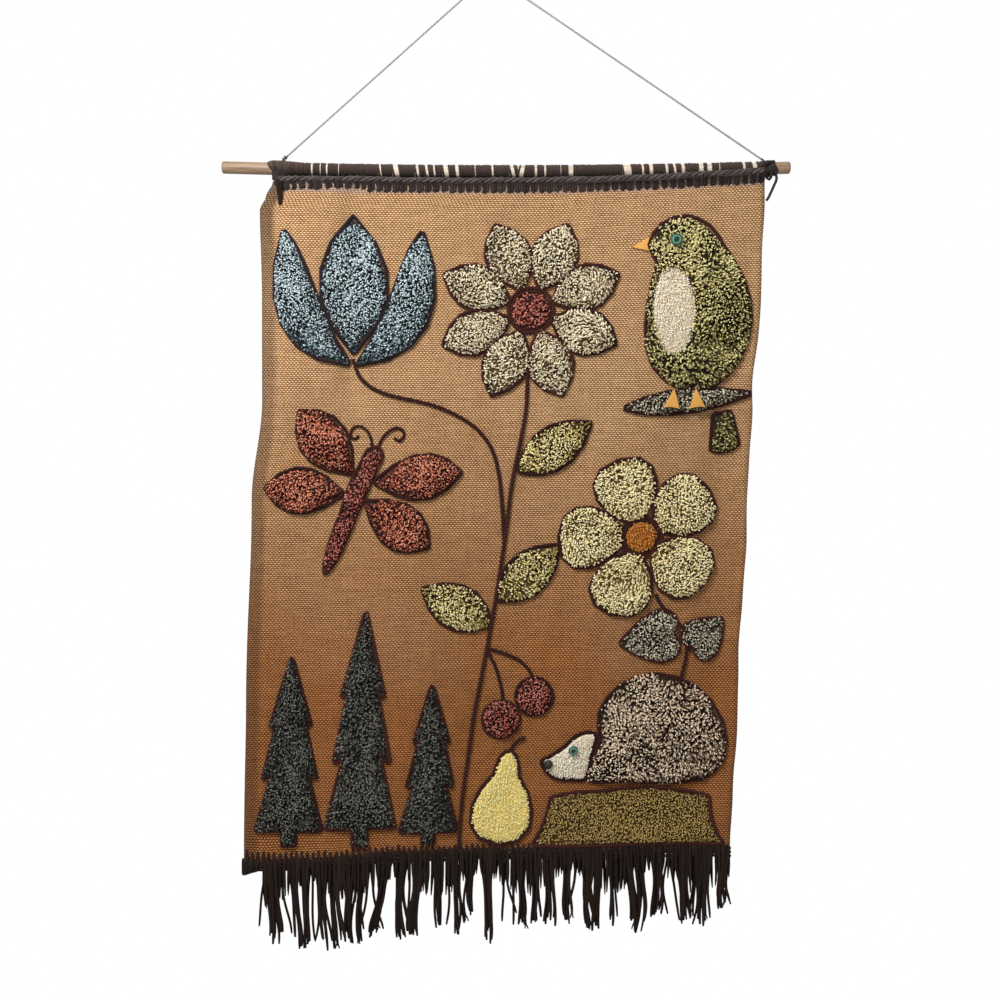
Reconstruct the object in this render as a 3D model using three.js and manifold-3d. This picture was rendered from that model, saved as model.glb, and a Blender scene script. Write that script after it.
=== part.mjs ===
// Wall hanging of latch hook work: a hessian panel with raised cut-pile motifs, laced under
// a bare wooden rod, with a yarn fringe along its foot and a cord to hang it by.
// Millimetres. X runs to the right, Z up, and the worked face looks along -Y. The origin is
// where the hanging cord passes over its nail.

import * as THREE from 'three';
import { mergeVertices } from 'three/addons/utils/BufferGeometryUtils.js';
import Module from 'manifold-3d';

const wasm = await Module();
wasm.setup();

// ---- driving dimensions ----

const CLEARANCE = 0.3; // between pieces that touch
const INLAY_CLEARANCE = 0.5; // round a piece of pile set into another

const ROD_DIAMETER = 15;
const ROD_LEFT = -328;
const ROD_RIGHT = 365;
const ROD_DROP = 231.5; // from the nail down to the rod's axis at its ends
const ROD_BOW = 4.5; // how far its middle sags under the panel
const ROD_END_ROUND = 1.2;

const WRAP_LEFT = -270;
const WRAP_RIGHT = 332;
const WRAP_THICKNESS = 1.8;

const BINDING_DIAMETER = 6; // the knotted edge cord that the rod is laced to
const BINDING_LEFT = -262;
const BINDING_RIGHT = 332;

const CLOTH_WIDTH = 600;
const CLOTH_DROP = 818;
const CLOTH_THICKNESS = 2;
const CLOTH_FOOT_LEFT = -1070; // height of the two lower corners
const CLOTH_FOOT_RIGHT = -1060.5;
const CLOTH_ROWS = 22;
const CLOTH_COLUMNS = [0, 9, 20, 36, 62, 86, 98, 108, 118, 134, 160, 192, 225, 260,
  295, 330, 365, 400, 435, 470, 505, 535, 562, 584, 600];

const EDGE_CURL = 10; // the left selvedge turns back by this much
const EDGE_CURL_WIDTH = 34;

const PILE_HEIGHT = 13;
const SHEARED_HEIGHT = 9;
const PILE_ROUND = 3.5;
const PILE_ROOT = 24; // length cut away again where the pile meets the cloth

const FELT_THICKNESS = 2;
const BUTTON_THICKNESS = 3.5;

const FRINGE_THICKNESS = 5;
const FRINGE_HEADING = 8;

const CORD_DIAMETER = 2.5;
const TAIL_DIAMETER = 3.6;
const KNOT_LEFT = 332.6;
const KNOT_WIDTH = 15;
const KNOT_RADIUS = 12.5;

// Where the panel's left edge lies, and how wide it hangs, going down from its top edge.
const EDGES = [
  { down: 0, left: -267, width: 601 },
  { down: 28, left: -283, width: 616 },
  { down: 144, left: -280, width: 609 },
  { down: 266, left: -280, width: 599 },
  { down: 388, left: -293, width: 606 },
  { down: 632, left: -300, width: 601 },
  { down: CLOTH_DROP, left: -302.6, width: 594 },
];

// Soft folds: ridges come forward, and troughs have a negative height.
const FOLDS = [
  { across: 62, spread: 42, forward: 8, from: -80, to: 330 },
  { across: 108, spread: 13, forward: -6, from: -80, to: 300 },
  { across: 192, spread: 60, forward: 4, from: -80, to: 900 },
  { across: 330, spread: 66, forward: -4, from: -20, to: 640 },
  { across: 470, spread: 60, forward: 5, from: -20, to: 560 },
  { across: 566, spread: 26, forward: -4, from: 120, to: 900 },
  { across: 60, spread: 46, forward: -4, from: 380, to: 900 },
  { across: 118, spread: 36, forward: 5, from: 560, to: 960 },
  { across: 300, spread: 50, forward: -5, from: 600, to: 960 },
  { across: 405, spread: 44, forward: 5, from: 560, to: 960 },
  { across: 505, spread: 36, forward: -4, from: 620, to: 960 },
  { across: 582, spread: 24, forward: 5, from: 600, to: 960 },
];
const FOLD_FADE = 90;
const HELD_FLAT = 0.3; // share of each fold that is left at the laced top edge
const HELD_DEPTH = 90;

// Bunches of fringe, by where each leaves the heading and where its foot hangs.
const FRINGE = [
  { from: 25, to: 45, footFrom: 36, footTo: 48, length: 108 },
  { from: 54, to: 84, footFrom: 66, footTo: 80, length: 116 },
  { from: 88, to: 125, footFrom: 93, footTo: 122, length: 117 },
  { from: 126.5, to: 154, footFrom: 128, footTo: 146, length: 110 },
  { from: 166, to: 186, footFrom: 157, footTo: 168, length: 102 },
  { from: 188, to: 204, footFrom: 190, footTo: 199, length: 107 },
  { from: 207, to: 230, footFrom: 205, footTo: 216, length: 104 },
  { from: 233, to: 249, footFrom: 237, footTo: 247, length: 96 },
  { from: 256, to: 271, footFrom: 262, footTo: 271, length: 104 },
  { from: 272.5, to: 289, footFrom: 275, footTo: 284, length: 84 },
  { from: 290.5, to: 312, footFrom: 299, footTo: 308, length: 114 },
  { from: 333, to: 350, footFrom: 341, footTo: 350, length: 97 },
  { from: 353, to: 367, footFrom: 358, footTo: 366, length: 95 },
  { from: 370, to: 387, footFrom: 371, footTo: 386, length: 96 },
  { from: 392, to: 405, footFrom: 394, footTo: 404, length: 92 },
  { from: 412, to: 446, footFrom: 423, footTo: 443, length: 100 },
  { from: 448, to: 458, footFrom: 453, footTo: 463, length: 100 },
  { from: 461, to: 496, footFrom: 478, footTo: 496, length: 104 },
  { from: 501, to: 519, footFrom: 504, footTo: 516, length: 90 },
  { from: 530, to: 551, footFrom: 539, footTo: 549, length: 98 },
  { from: 553, to: 578, footFrom: 554, footTo: 572, length: 98 },
  { from: 583, to: 600, footFrom: 583, footTo: 594, length: 78 },
];
const FRINGE_STEP = 30;

// The hanging cord, from its tie in the wrapping over the nail to its knot on the rod.
const CORD_ROUTE = [
  [-253, 0, -219.6], [-240, 0, -208.3], [-210, 0, -182], [-170, 0, -147], [-130, 0, -112.1],
  [-90, 0, -77.1], [-50, 0, -42.2], [-20, 0, -16], [-3.4, 0, -1.5], [0.2, 0, 0],
  [3.8, 0, -0.95], [20, 0, -11.5], [60, 0, -37.4], [100, 0, -63.3], [150, 0, -95.7],
  [200, 0, -128.1], [250, 0, -160.5], [300, 0, -192.9], [339.2, 0, -218.3],
];
const CORD_STEPS = 78;

// The free end of the lacing yarn, below the knot.
const TAIL_ROUTE = [
  [343, -3, -244.8], [345.4, -4, -249.4], [346, -4.6, -254.2], [345.4, -5, -259],
  [343.6, -5, -263.5], [341.2, -4.6, -268], [338.6, -4, -272.5], [335.8, -3.2, -277],
];
const TAIL_STEPS = 8;

// ---- how the panel hangs ----

function smooth(low, high, value) {
  return THREE.MathUtils.smoothstep(value, low, high);
}

function rodAxis(x) {
  const middle = (ROD_LEFT + ROD_RIGHT) / 2;
  const reach = (ROD_RIGHT - ROD_LEFT) / 2;
  const out = (x - middle) / reach;
  return -ROD_DROP - ROD_BOW * (1 - out * out);
}

const WRAP_RADIUS = ROD_DIAMETER / 2 + CLEARANCE + WRAP_THICKNESS;
const BINDING_BELOW = WRAP_RADIUS + CLEARANCE + BINDING_DIAMETER / 2;
const CLOTH_BELOW = BINDING_BELOW + BINDING_DIAMETER / 2 + CLEARANCE;

function edgeAt(down) {
  const last = EDGES.length - 1;
  const next = EDGES.findIndex((row) => row.down > down);
  if (next === -1) return EDGES[last];
  const upper = EDGES[Math.max(next - 1, 0)];
  const lower = EDGES[next];
  const share = smooth(upper.down, lower.down, down);
  const left = THREE.MathUtils.lerp(upper.left, lower.left, share);
  const width = THREE.MathUtils.lerp(upper.width, lower.width, share);
  return { left, width };
}

function foldForward(across, down) {
  let forward = 0;
  for (const fold of FOLDS) {
    const away = (across - fold.across) / fold.spread;
    const starts = smooth(fold.from, fold.from + FOLD_FADE, down);
    const ends = 1 - smooth(fold.to - FOLD_FADE, fold.to, down);
    forward += fold.forward * Math.exp(-away * away) * starts * ends;
  }
  const held = THREE.MathUtils.lerp(HELD_FLAT, 1, smooth(0, HELD_DEPTH, down));
  const curl = Math.max(0, 1 - across / EDGE_CURL_WIDTH);
  return held * (forward - EDGE_CURL * curl * curl);
}

// A point of the flat panel, where it hangs. The last argument lifts it off the cloth's middle.
function hang(across, down, lift = 0) {
  const { left, width } = edgeAt(down);
  const share = across / CLOTH_WIDTH;
  const x = left + width * share;
  const top = rodAxis(x) - CLOTH_BELOW;
  const foot = THREE.MathUtils.lerp(CLOTH_FOOT_LEFT, CLOTH_FOOT_RIGHT, share);
  const z = THREE.MathUtils.lerp(top, foot, down / CLOTH_DROP);
  const forward = foldForward(across, Math.min(down, CLOTH_DROP));
  return new THREE.Vector3(x, -forward - lift, z);
}

// ---- solids ----

function solidOf(geometry) {
  const bare = geometry.clone();
  bare.deleteAttribute('normal');
  bare.deleteAttribute('uv');
  const merged = mergeVertices(bare, 1e-4);
  const vertProperties = merged.attributes.position.array;
  const triVerts = Uint32Array.from(merged.index.array);
  return new wasm.Manifold(new wasm.Mesh({ numProp: 3, vertProperties, triVerts }));
}

function geometryOf(solid) {
  const mesh = solid.getMesh();
  const geometry = new THREE.BufferGeometry();
  const places = Float32Array.from(mesh.vertProperties);
  geometry.setAttribute('position', new THREE.BufferAttribute(places, 3));
  geometry.setIndex(new THREE.BufferAttribute(Uint32Array.from(mesh.triVerts), 1));
  geometry.computeVertexNormals();
  return geometry;
}

// Moves every point of a geometry to where the function says.
function moved(geometry, place) {
  const points = geometry.attributes.position;
  const point = new THREE.Vector3();
  for (let i = 0; i < points.count; i += 1) {
    point.fromBufferAttribute(points, i);
    const to = place(point);
    points.setXYZ(i, to.x, to.y, to.z);
  }
  geometry.computeVertexNormals();
  return geometry;
}

// The panel as a closed sheet that reaches forward and back of its middle.
function sheetGeometry(forward, backward) {
  const rows = CLOTH_ROWS + 1;
  const columns = CLOTH_COLUMNS.length;
  const places = [];
  for (const lift of [forward, -backward]) {
    for (let row = 0; row < rows; row += 1) {
      for (const across of CLOTH_COLUMNS) {
        places.push(...hang(across, CLOTH_DROP * row / CLOTH_ROWS, lift).toArray());
      }
    }
  }
  const behind = rows * columns;
  const faces = [];
  const quad = (a, b, c, d) => faces.push(a, b, c, a, c, d);
  for (let row = 0; row < CLOTH_ROWS; row += 1) {
    for (let column = 0; column < columns - 1; column += 1) {
      const a = row * columns + column;
      quad(a, a + columns, a + columns + 1, a + 1);
      quad(a + behind, a + 1 + behind, a + columns + 1 + behind, a + columns + behind);
    }
  }
  const rim = [];
  for (let row = 0; row < CLOTH_ROWS; row += 1) rim.push(row * columns);
  for (let column = 0; column < columns - 1; column += 1) rim.push(CLOTH_ROWS * columns + column);
  for (let row = CLOTH_ROWS; row > 0; row -= 1) rim.push(row * columns + columns - 1);
  for (let column = columns - 1; column > 0; column -= 1) rim.push(column);
  rim.forEach((a, i) => {
    const b = rim[(i + 1) % rim.length];
    quad(b, a, a + behind, b + behind);
  });
  const geometry = new THREE.BufferGeometry();
  geometry.setAttribute('position', new THREE.Float32BufferAttribute(places, 3));
  geometry.setIndex(faces);
  geometry.computeVertexNormals();
  return geometry;
}

const HALF_CLOTH = CLOTH_THICKNESS / 2;
const BEHIND_PILE = 60;
const clothSpace = solidOf(sheetGeometry(HALF_CLOTH + CLEARANCE, BEHIND_PILE));

// An outline stood up from the flat panel, then hung with it. `at` gives its place on the
// panel, `turn` its lean in degrees, `seat` how far off the cloth's face it starts.
function standing(outline, at, options, seat, root) {
  const settings = { curveSegments: at.fineness ?? 5, bevelSegments: 1, steps: 1, ...options };
  const geometry = new THREE.ExtrudeGeometry(outline, settings);
  const turn = THREE.MathUtils.degToRad(at.turn ?? 0);
  const lowest = settings.bevelEnabled ? -settings.bevelThickness : 0;
  return moved(geometry, (point) => {
    const across = at.across + point.x * Math.cos(turn) - point.y * Math.sin(turn);
    const down = at.down - point.x * Math.sin(turn) - point.y * Math.cos(turn);
    const lift = HALF_CLOTH + seat + point.z - lowest - root;
    return hang(across, down, lift);
  });
}

// A flat piece of felt or a button, `seat` off the cloth's face.
function flatPiece(outline, at, thickness, seat) {
  return standing(outline, at, { depth: thickness, bevelEnabled: false }, seat, 0);
}

function pileSolid(outline, at, height = PILE_HEIGHT, round = PILE_ROUND) {
  const options = { depth: height + PILE_ROOT - 2 * round, bevelEnabled: true };
  options.bevelThickness = round;
  options.bevelSize = round;
  options.bevelOffset = -round;
  return solidOf(standing(outline, at, options, 0, PILE_ROOT)).subtract(clothSpace);
}

// What an inlaid piece takes out of the pile round it: its outline grown by the clearance.
function inlaySpace(outline, at) {
  const options = { depth: 2 * (PILE_HEIGHT + PILE_ROOT), bevelEnabled: true };
  options.bevelThickness = INLAY_CLEARANCE;
  options.bevelSize = 0;
  options.bevelOffset = INLAY_CLEARANCE;
  return solidOf(standing(outline, at, options, 0, PILE_ROOT + PILE_HEIGHT));
}

function outlined(build) {
  const shape = new THREE.Shape();
  build(shape);
  return shape;
}

function closedSpline(points) {
  const loop = points.map(([x, y]) => new THREE.Vector3(x, y, 0));
  const curve = new THREE.CatmullRomCurve3(loop, true, 'centripetal');
  const round = curve.getPoints(points.length * 2).slice(0, -1);
  return new THREE.Shape(round.map((point) => new THREE.Vector2(point.x, point.y)));
}

// ---- outlines of the motifs, with their root at 0, 0 and Y along their length ----

function almond(length, width, belly = 0.5) {
  return outlined((shape) => {
    shape.moveTo(0, 0);
    shape.quadraticCurveTo(width, length * belly, 0, length);
    shape.quadraticCurveTo(-width, length * belly, 0, 0);
  });
}

function roundPetal(length, width) {
  const base = width * 0.13;
  return outlined((shape) => {
    shape.moveTo(-base, 0);
    shape.lineTo(base, 0);
    shape.bezierCurveTo(width * 0.62, length * 0.3, width * 0.68, length, 0, length);
    shape.bezierCurveTo(-width * 0.68, length, -width * 0.62, length * 0.3, -base, 0);
  });
}

// The outer petal of a tulip, seen to the right of the middle one. `side` -1 makes the left.
function cupPetal(side) {
  return outlined((shape) => {
    shape.moveTo(side * 6, -2);
    shape.bezierCurveTo(side * 84, 0, side * 116, 70, side * 82, 158);
    shape.bezierCurveTo(side * 52, 124, side * 50, 60, side * 6, -2);
  });
}

function heartLeaf(length, width) {
  const dip = length * 0.14;
  return outlined((shape) => {
    shape.moveTo(0, dip);
    shape.bezierCurveTo(width * 0.3, -dip, width * 0.72, length * 0.2, width * 0.4, length * 0.56);
    shape.quadraticCurveTo(width * 0.22, length * 0.82, 0, length);
    shape.quadraticCurveTo(-width * 0.22, length * 0.82, -width * 0.4, length * 0.56);
    shape.bezierCurveTo(-width * 0.72, length * 0.2, -width * 0.3, -dip, 0, dip);
  });
}

function oval(width, height) {
  return outlined((shape) => shape.absellipse(0, 0, width / 2, height / 2, 0, 2 * Math.PI));
}

// A fir of three tiers on a short trunk.
function fir(height, width) {
  const tiers = [
    { foot: 0.08, half: 0.5, waist: 0.25 },
    { foot: 0.36, half: 0.4, waist: 0.19 },
    { foot: 0.64, half: 0.3, waist: 0 },
  ];
  const side = [new THREE.Vector2(width * 0.09, 0), new THREE.Vector2(width * 0.09, height * 0.08)];
  tiers.forEach((tier, i) => {
    side.push(new THREE.Vector2(width * tier.half, height * tier.foot));
    const above = tiers[i + 1];
    if (above) side.push(new THREE.Vector2(width * tier.waist, height * (above.foot + 0.03)));
  });
  const mirrored = side.map((point) => new THREE.Vector2(-point.x, point.y)).reverse();
  return new THREE.Shape([...side, new THREE.Vector2(0, height), ...mirrored]);
}

function pearOutline(height, width) {
  return outlined((shape) => {
    shape.moveTo(0, 0);
    shape.bezierCurveTo(width * 0.72, 0, width * 0.56, height * 0.5, width * 0.2, height * 0.74);
    shape.quadraticCurveTo(width * 0.14, height, 0, height);
    shape.quadraticCurveTo(-width * 0.14, height, -width * 0.2, height * 0.74);
    shape.bezierCurveTo(-width * 0.56, height * 0.5, -width * 0.72, 0, 0, 0);
  });
}

// A low bank with a flat foot and flared sides.
function bankOutline(width, height) {
  const half = width / 2;
  return outlined((shape) => {
    shape.moveTo(-half, 0);
    shape.lineTo(half, 0);
    shape.quadraticCurveTo(half * 0.86, height * 0.3, half * 0.84, height * 0.84);
    shape.quadraticCurveTo(half * 0.3, height * 1.1, -half * 0.3, height * 0.96);
    shape.quadraticCurveTo(-half * 0.6, height * 0.98, -half * 0.82, height * 0.86);
    shape.quadraticCurveTo(-half * 0.86, height * 0.3, -half, 0);
  });
}

// A perched songbird in profile, looking left, about the middle of its body.
const BIRD_OUTLINE = closedSpline([
  [-60, 66], [-46, 90], [-18, 100], [9, 88], [29, 60], [53, 20], [63, -28],
  [55, -75], [27, -106], [-15, -108], [-49, -82], [-62, -33], [-55, 20], [-50, 44],
]);

// A hedgehog's coat and its bare face, looking left, from the middle of its feet.
const HEDGEHOG_COAT = closedSpline([
  [-54, 4], [-42, 50], [-44, 84], [-20, 116], [24, 130], [72, 114], [104, 72], [108, 26],
  [84, 2], [20, 0], [-20, 2],
]);
const HEDGEHOG_FACE = outlined((shape) => {
  shape.moveTo(-60, 4);
  shape.quadraticCurveTo(-52, 32, -49, 58);
  shape.quadraticCurveTo(-66, 66, -84, 44);
  shape.quadraticCurveTo(-98, 32, -112, 26);
  shape.quadraticCurveTo(-106, 10, -90, 6);
  shape.lineTo(-60, 4);
});

const TAIL_OUTLINE = outlined((shape) => {
  shape.moveTo(-10, 0);
  shape.quadraticCurveTo(-14, -22, -16, -42);
  shape.quadraticCurveTo(0, -50, 16, -40);
  shape.quadraticCurveTo(13, -22, 10, 0);
  shape.lineTo(-10, 0);
});

const TRIANGLE_TOE = outlined((shape) => {
  shape.moveTo(0, 13);
  shape.lineTo(-10, -12);
  shape.quadraticCurveTo(0, -9, 10, -12);
  shape.lineTo(0, 13);
});

// ---- the group of named pieces ----

const group = new THREE.Group();

function finish(color, roughness, metalness = 0) {
  return new THREE.MeshStandardMaterial({ color, roughness, metalness });
}

const FINISHES = {
  birch: finish('#d9b48a', 0.55),
  darkYarn: finish('#2b1d1a', 0.95),
  grayCord: finish('#8a8a8a', 0.8),
  hessian: finish('#b08550', 0.95),
  bluePile: finish('#6f93a8', 1),
  sagePile: finish('#b9bda0', 1),
  creamPile: finish('#e6dfc4', 1),
  greenPile: finish('#7d8a4b', 1),
  rustPile: finish('#a8492c', 1),
  maroonPile: finish('#5c221d', 1),
  brownPile: finish('#5a4534', 1),
  olivePile: finish('#6f6b2c', 1),
  limePile: finish('#a3a45a', 1),
  tealPile: finish('#2f4742', 1),
  honeyPile: finish('#cfc07c', 1),
  yellowPile: finish('#e3d985', 1),
  orangeFelt: finish('#d98a1f', 0.9),
  eyePlastic: finish('#1d6b45', 0.25),
  blackPlastic: finish('#15100e', 0.25),
};

function add(name, geometry, material) {
  const mesh = new THREE.Mesh(geometry, material);
  mesh.name = name;
  group.add(mesh);
}

function addPile(name, outline, at, material, height, round) {
  add(name, geometryOf(pileSolid(outline, at, height, round)), material);
}

// Where a part of a motif lands once the whole motif is turned about its place.
function within(motif, x, y, turn = 0, fineness = undefined) {
  const lean = THREE.MathUtils.degToRad(motif.turn ?? 0);
  const across = motif.across + x * Math.cos(lean) - y * Math.sin(lean);
  const down = motif.down - x * Math.sin(lean) - y * Math.cos(lean);
  return { across, down, turn: (motif.turn ?? 0) + turn, fineness };
}

// ---- rod, wrapping, binding, cords ----

function turned(profile, sides) {
  const lathe = new THREE.LatheGeometry(profile.map(([r, x]) => new THREE.Vector2(r, x)), sides);
  return moved(lathe, (point) => ({ x: point.y, y: point.z, z: point.x + rodAxis(point.y) }));
}

function addRod() {
  const radius = ROD_DIAMETER / 2;
  const round = ROD_END_ROUND;
  const profile = [[0, ROD_LEFT], [radius - round, ROD_LEFT], [radius, ROD_LEFT + round]];
  const bays = 10;
  for (let bay = 1; bay < bays; bay += 1) {
    profile.push([radius, THREE.MathUtils.lerp(ROD_LEFT, ROD_RIGHT, bay / bays)]);
  }
  profile.push([radius, ROD_RIGHT - round], [radius - round, ROD_RIGHT], [0, ROD_RIGHT]);
  add('dowel', turned(profile, 20), FINISHES.birch);
}

function addRodWrap() {
  const inner = ROD_DIAMETER / 2 + CLEARANCE;
  const outer = inner + WRAP_THICKNESS;
  const bays = 8;
  const profile = [[inner, WRAP_LEFT], [outer - 0.8, WRAP_LEFT], [outer, WRAP_LEFT + 3]];
  for (let bay = 1; bay < bays; bay += 1) {
    profile.push([outer, THREE.MathUtils.lerp(WRAP_LEFT, WRAP_RIGHT, bay / bays)]);
  }
  profile.push([outer, WRAP_RIGHT], [inner, WRAP_RIGHT]);
  for (let bay = bays - 1; bay > 0; bay -= 1) {
    profile.push([inner, THREE.MathUtils.lerp(WRAP_LEFT, WRAP_RIGHT, bay / bays)]);
  }
  profile.push([inner, WRAP_LEFT]);
  add('rod_wrap', turned(profile, 20), FINISHES.darkYarn);
}

function tube(points, diameter, steps, sides) {
  const path = new THREE.CatmullRomCurve3(points.map(([x, y, z]) => new THREE.Vector3(x, y, z)));
  const section = new THREE.Shape();
  for (let side = 0; side < sides; side += 1) {
    const angle = 2 * Math.PI * side / sides;
    const x = Math.cos(angle) * diameter / 2;
    const y = Math.sin(angle) * diameter / 2;
    if (side === 0) section.moveTo(x, y);
    else section.lineTo(x, y);
  }
  return new THREE.ExtrudeGeometry(section, { steps, extrudePath: path, bevelEnabled: false });
}

function addBinding() {
  const points = [];
  const bays = 10;
  for (let bay = 0; bay <= bays; bay += 1) {
    const x = THREE.MathUtils.lerp(BINDING_LEFT, BINDING_RIGHT, bay / bays);
    points.push([x, 0, rodAxis(x) - BINDING_BELOW]);
  }
  add('top_binding', tube(points, BINDING_DIAMETER, bays * 2, 8), FINISHES.darkYarn);
}

function addKnot() {
  const inner = ROD_DIAMETER / 2 + CLEARANCE;
  const right = KNOT_LEFT + KNOT_WIDTH;
  const middle = KNOT_LEFT + KNOT_WIDTH / 2;
  const shoulder = KNOT_RADIUS - 1.6;
  const profile = [
    [inner, KNOT_LEFT], [shoulder, KNOT_LEFT], [KNOT_RADIUS, middle - 4],
    [KNOT_RADIUS, middle + 3], [shoulder, right - 1], [inner, right], [inner, KNOT_LEFT],
  ];
  add('rod_knot', turned(profile, 16), FINISHES.darkYarn);
}

function addCords() {
  add('hanger_cord', tube(CORD_ROUTE, CORD_DIAMETER, CORD_STEPS, 8), FINISHES.grayCord);
  add('knot_tail', tube(TAIL_ROUTE, TAIL_DIAMETER, TAIL_STEPS, 8), FINISHES.darkYarn);
}

// ---- cloth and fringe ----

function addCloth() {
  add('ground_cloth', sheetGeometry(HALF_CLOTH, HALF_CLOTH), FINISHES.hessian);
}

// The fringe is one comb: a heading along the hem, with a tooth for each bunch.
function addFringe() {
  const comb = [];
  for (let across = 0; across <= CLOTH_WIDTH; across += FRINGE_STEP) {
    comb.push(new THREE.Vector2(across, 0));
  }
  for (const bunch of [...FRINGE].reverse()) {
    comb.push(new THREE.Vector2(bunch.to, -FRINGE_HEADING));
    comb.push(new THREE.Vector2(bunch.footTo, -bunch.length));
    comb.push(new THREE.Vector2(bunch.footFrom, 4 - bunch.length));
    comb.push(new THREE.Vector2(bunch.from, -FRINGE_HEADING));
  }
  comb.push(new THREE.Vector2(0, -FRINGE_HEADING - 6));
  const options = { depth: FRINGE_THICKNESS, bevelEnabled: false };
  const geometry = new THREE.ExtrudeGeometry(new THREE.Shape(comb.reverse()), options);
  const hung = moved(geometry, (point) => {
    const down = CLOTH_DROP + CLEARANCE - point.y;
    return hang(point.x, down, point.z - FRINGE_THICKNESS / 2);
  });
  add('fringe', hung, FINISHES.darkYarn);
}

// ---- motifs ----

const TULIP = { across: 112, down: 218 };
const DAISY = { across: 324, down: 154, petals: 8, lean: 22.5, hub: 43, root: 28, length: 84, width: 52 };
const ROSE = { across: 472, down: 434, petals: 5, lean: 18, hub: 38, root: 24, length: 74, width: 72 };
const BIRD = { across: 525, down: 142 };
const DRAGONFLY = { across: 128, down: 376, turn: -20 };
const HEDGEHOG = { across: 476, down: 736 };

const FIRS = [
  { across: 56, down: 806, height: 226, width: 80 },
  { across: 144, down: 808, height: 284, width: 84 },
  { across: 228, down: 806, height: 192, width: 68 },
];

const LEAVES = [
  { name: 'lime_leaf_1', across: 322, down: 352, turn: -54, length: 100, width: 52 },
  { name: 'lime_leaf_2', across: 296, down: 540, turn: 62, length: 96, width: 50 },
  { name: 'lime_leaf_3', across: 304, down: 510, turn: -46, length: 96, width: 50 },
];

const HEART_LEAVES = [
  { name: 'heart_leaf_1', across: 526, down: 552, turn: 100, length: 72, width: 60 },
  { name: 'heart_leaf_2', across: 540, down: 574, turn: -44, length: 52, width: 50 },
];

function addFlower(name, flower, petal, petalFinish) {
  for (let i = 0; i < flower.petals; i += 1) {
    const turn = flower.lean + 360 * i / flower.petals;
    const lean = THREE.MathUtils.degToRad(turn);
    const x = -flower.root * Math.sin(lean);
    const y = flower.root * Math.cos(lean);
    addPile(`${name}_petal_${i + 1}`, petal, within(flower, x, y, turn), petalFinish);
  }
}

function addTulip() {
  const middle = within(TULIP, 0, 12);
  addPile('tulip_petal_1', cupPetal(-1), within(TULIP, 0, 0, 0, 6), FINISHES.bluePile);
  addPile('tulip_petal_2', almond(165, 78, 0.5), middle, FINISHES.bluePile);
  addPile('tulip_petal_3', cupPetal(1), within(TULIP, 0, 0, 0, 6), FINISHES.bluePile);
}

function addDaisy() {
  addFlower('daisy', DAISY, almond(DAISY.length, DAISY.width, 0.55), FINISHES.sagePile);
  const hub = { ...DAISY, fineness: 12 };
  addPile('daisy_hub', oval(DAISY.hub, DAISY.hub), hub, FINISHES.maroonPile);
}

function addRose() {
  addFlower('rose', ROSE, roundPetal(ROSE.length, ROSE.width), FINISHES.honeyPile);
  const hub = { ...ROSE, fineness: 12 };
  addPile('rose_hub', oval(ROSE.hub, ROSE.hub), hub, FINISHES.orangeFelt, SHEARED_HEIGHT);
}

function addDragonfly() {
  const wings = [
    { x: 15, y: 18, turn: -64, length: 104 },
    { x: 15, y: -8, turn: -106, length: 94 },
    { x: -15, y: 18, turn: 64, length: 104 },
    { x: -15, y: -8, turn: 106, length: 94 },
  ];
  wings.forEach((wing, i) => {
    const at = within(DRAGONFLY, wing.x, wing.y, wing.turn);
    addPile(`dragonfly_wing_${i + 1}`, almond(wing.length, 52, 0.62), at, FINISHES.rustPile);
  });
  const body = closedSpline([
    [0, 56], [-9, 50], [-9, 36], [-10, 8], [-8, -28], [-7, -76], [0, -106],
    [7, -76], [8, -28], [10, 8], [9, 36], [9, 50],
  ]);
  addPile('dragonfly_body', body, within(DRAGONFLY, 0, 0), FINISHES.maroonPile, PILE_HEIGHT, 2.5);
}

function addBird() {
  const breast = within(BIRD, -29, -16, 4, 16);
  const wing = within(BIRD, 12, 42, -163);
  const breastShape = oval(52, 110);
  const wingShape = almond(114, 50, 0.45);
  let body = pileSolid(BIRD_OUTLINE, BIRD);
  body = body.subtract(inlaySpace(breastShape, breast));
  body = body.subtract(inlaySpace(wingShape, wing));
  add('bird_body', geometryOf(body), FINISHES.greenPile);
  addPile('bird_breast', breastShape, breast, FINISHES.creamPile, SHEARED_HEIGHT, 2.5);
  addPile('bird_wing', wingShape, wing, FINISHES.greenPile);
  addPile('bird_tail', TAIL_OUTLINE, within(BIRD, 38, -142, 8), FINISHES.greenPile);
  addPile('twig', almond(156, 26, 0.4), within(BIRD, -82, -134, -84), FINISHES.brownPile);

  const overPile = PILE_HEIGHT + CLEARANCE;
  const eye = within(BIRD, -30, 70, 0, 16);
  add('bird_eye', flatPiece(oval(14, 14), eye, BUTTON_THICKNESS, overPile), FINISHES.eyePlastic);
  const beak = outlined((shape) => {
    shape.moveTo(0, 9);
    shape.lineTo(-20, -3);
    shape.lineTo(1, -8);
    shape.lineTo(0, 9);
  });
  const beakPlace = within(BIRD, -61.5, 66);
  add('bird_beak', flatPiece(beak, beakPlace, FELT_THICKNESS, CLEARANCE), FINISHES.orangeFelt);
  [-24, 5].forEach((x, i) => {
    const at = within(BIRD, x, -124, i === 0 ? -6 : 5);
    const foot = flatPiece(TRIANGLE_TOE, at, FELT_THICKNESS, overPile);
    add(`bird_foot_${i + 1}`, foot, FINISHES.orangeFelt);
  });
}

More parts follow.
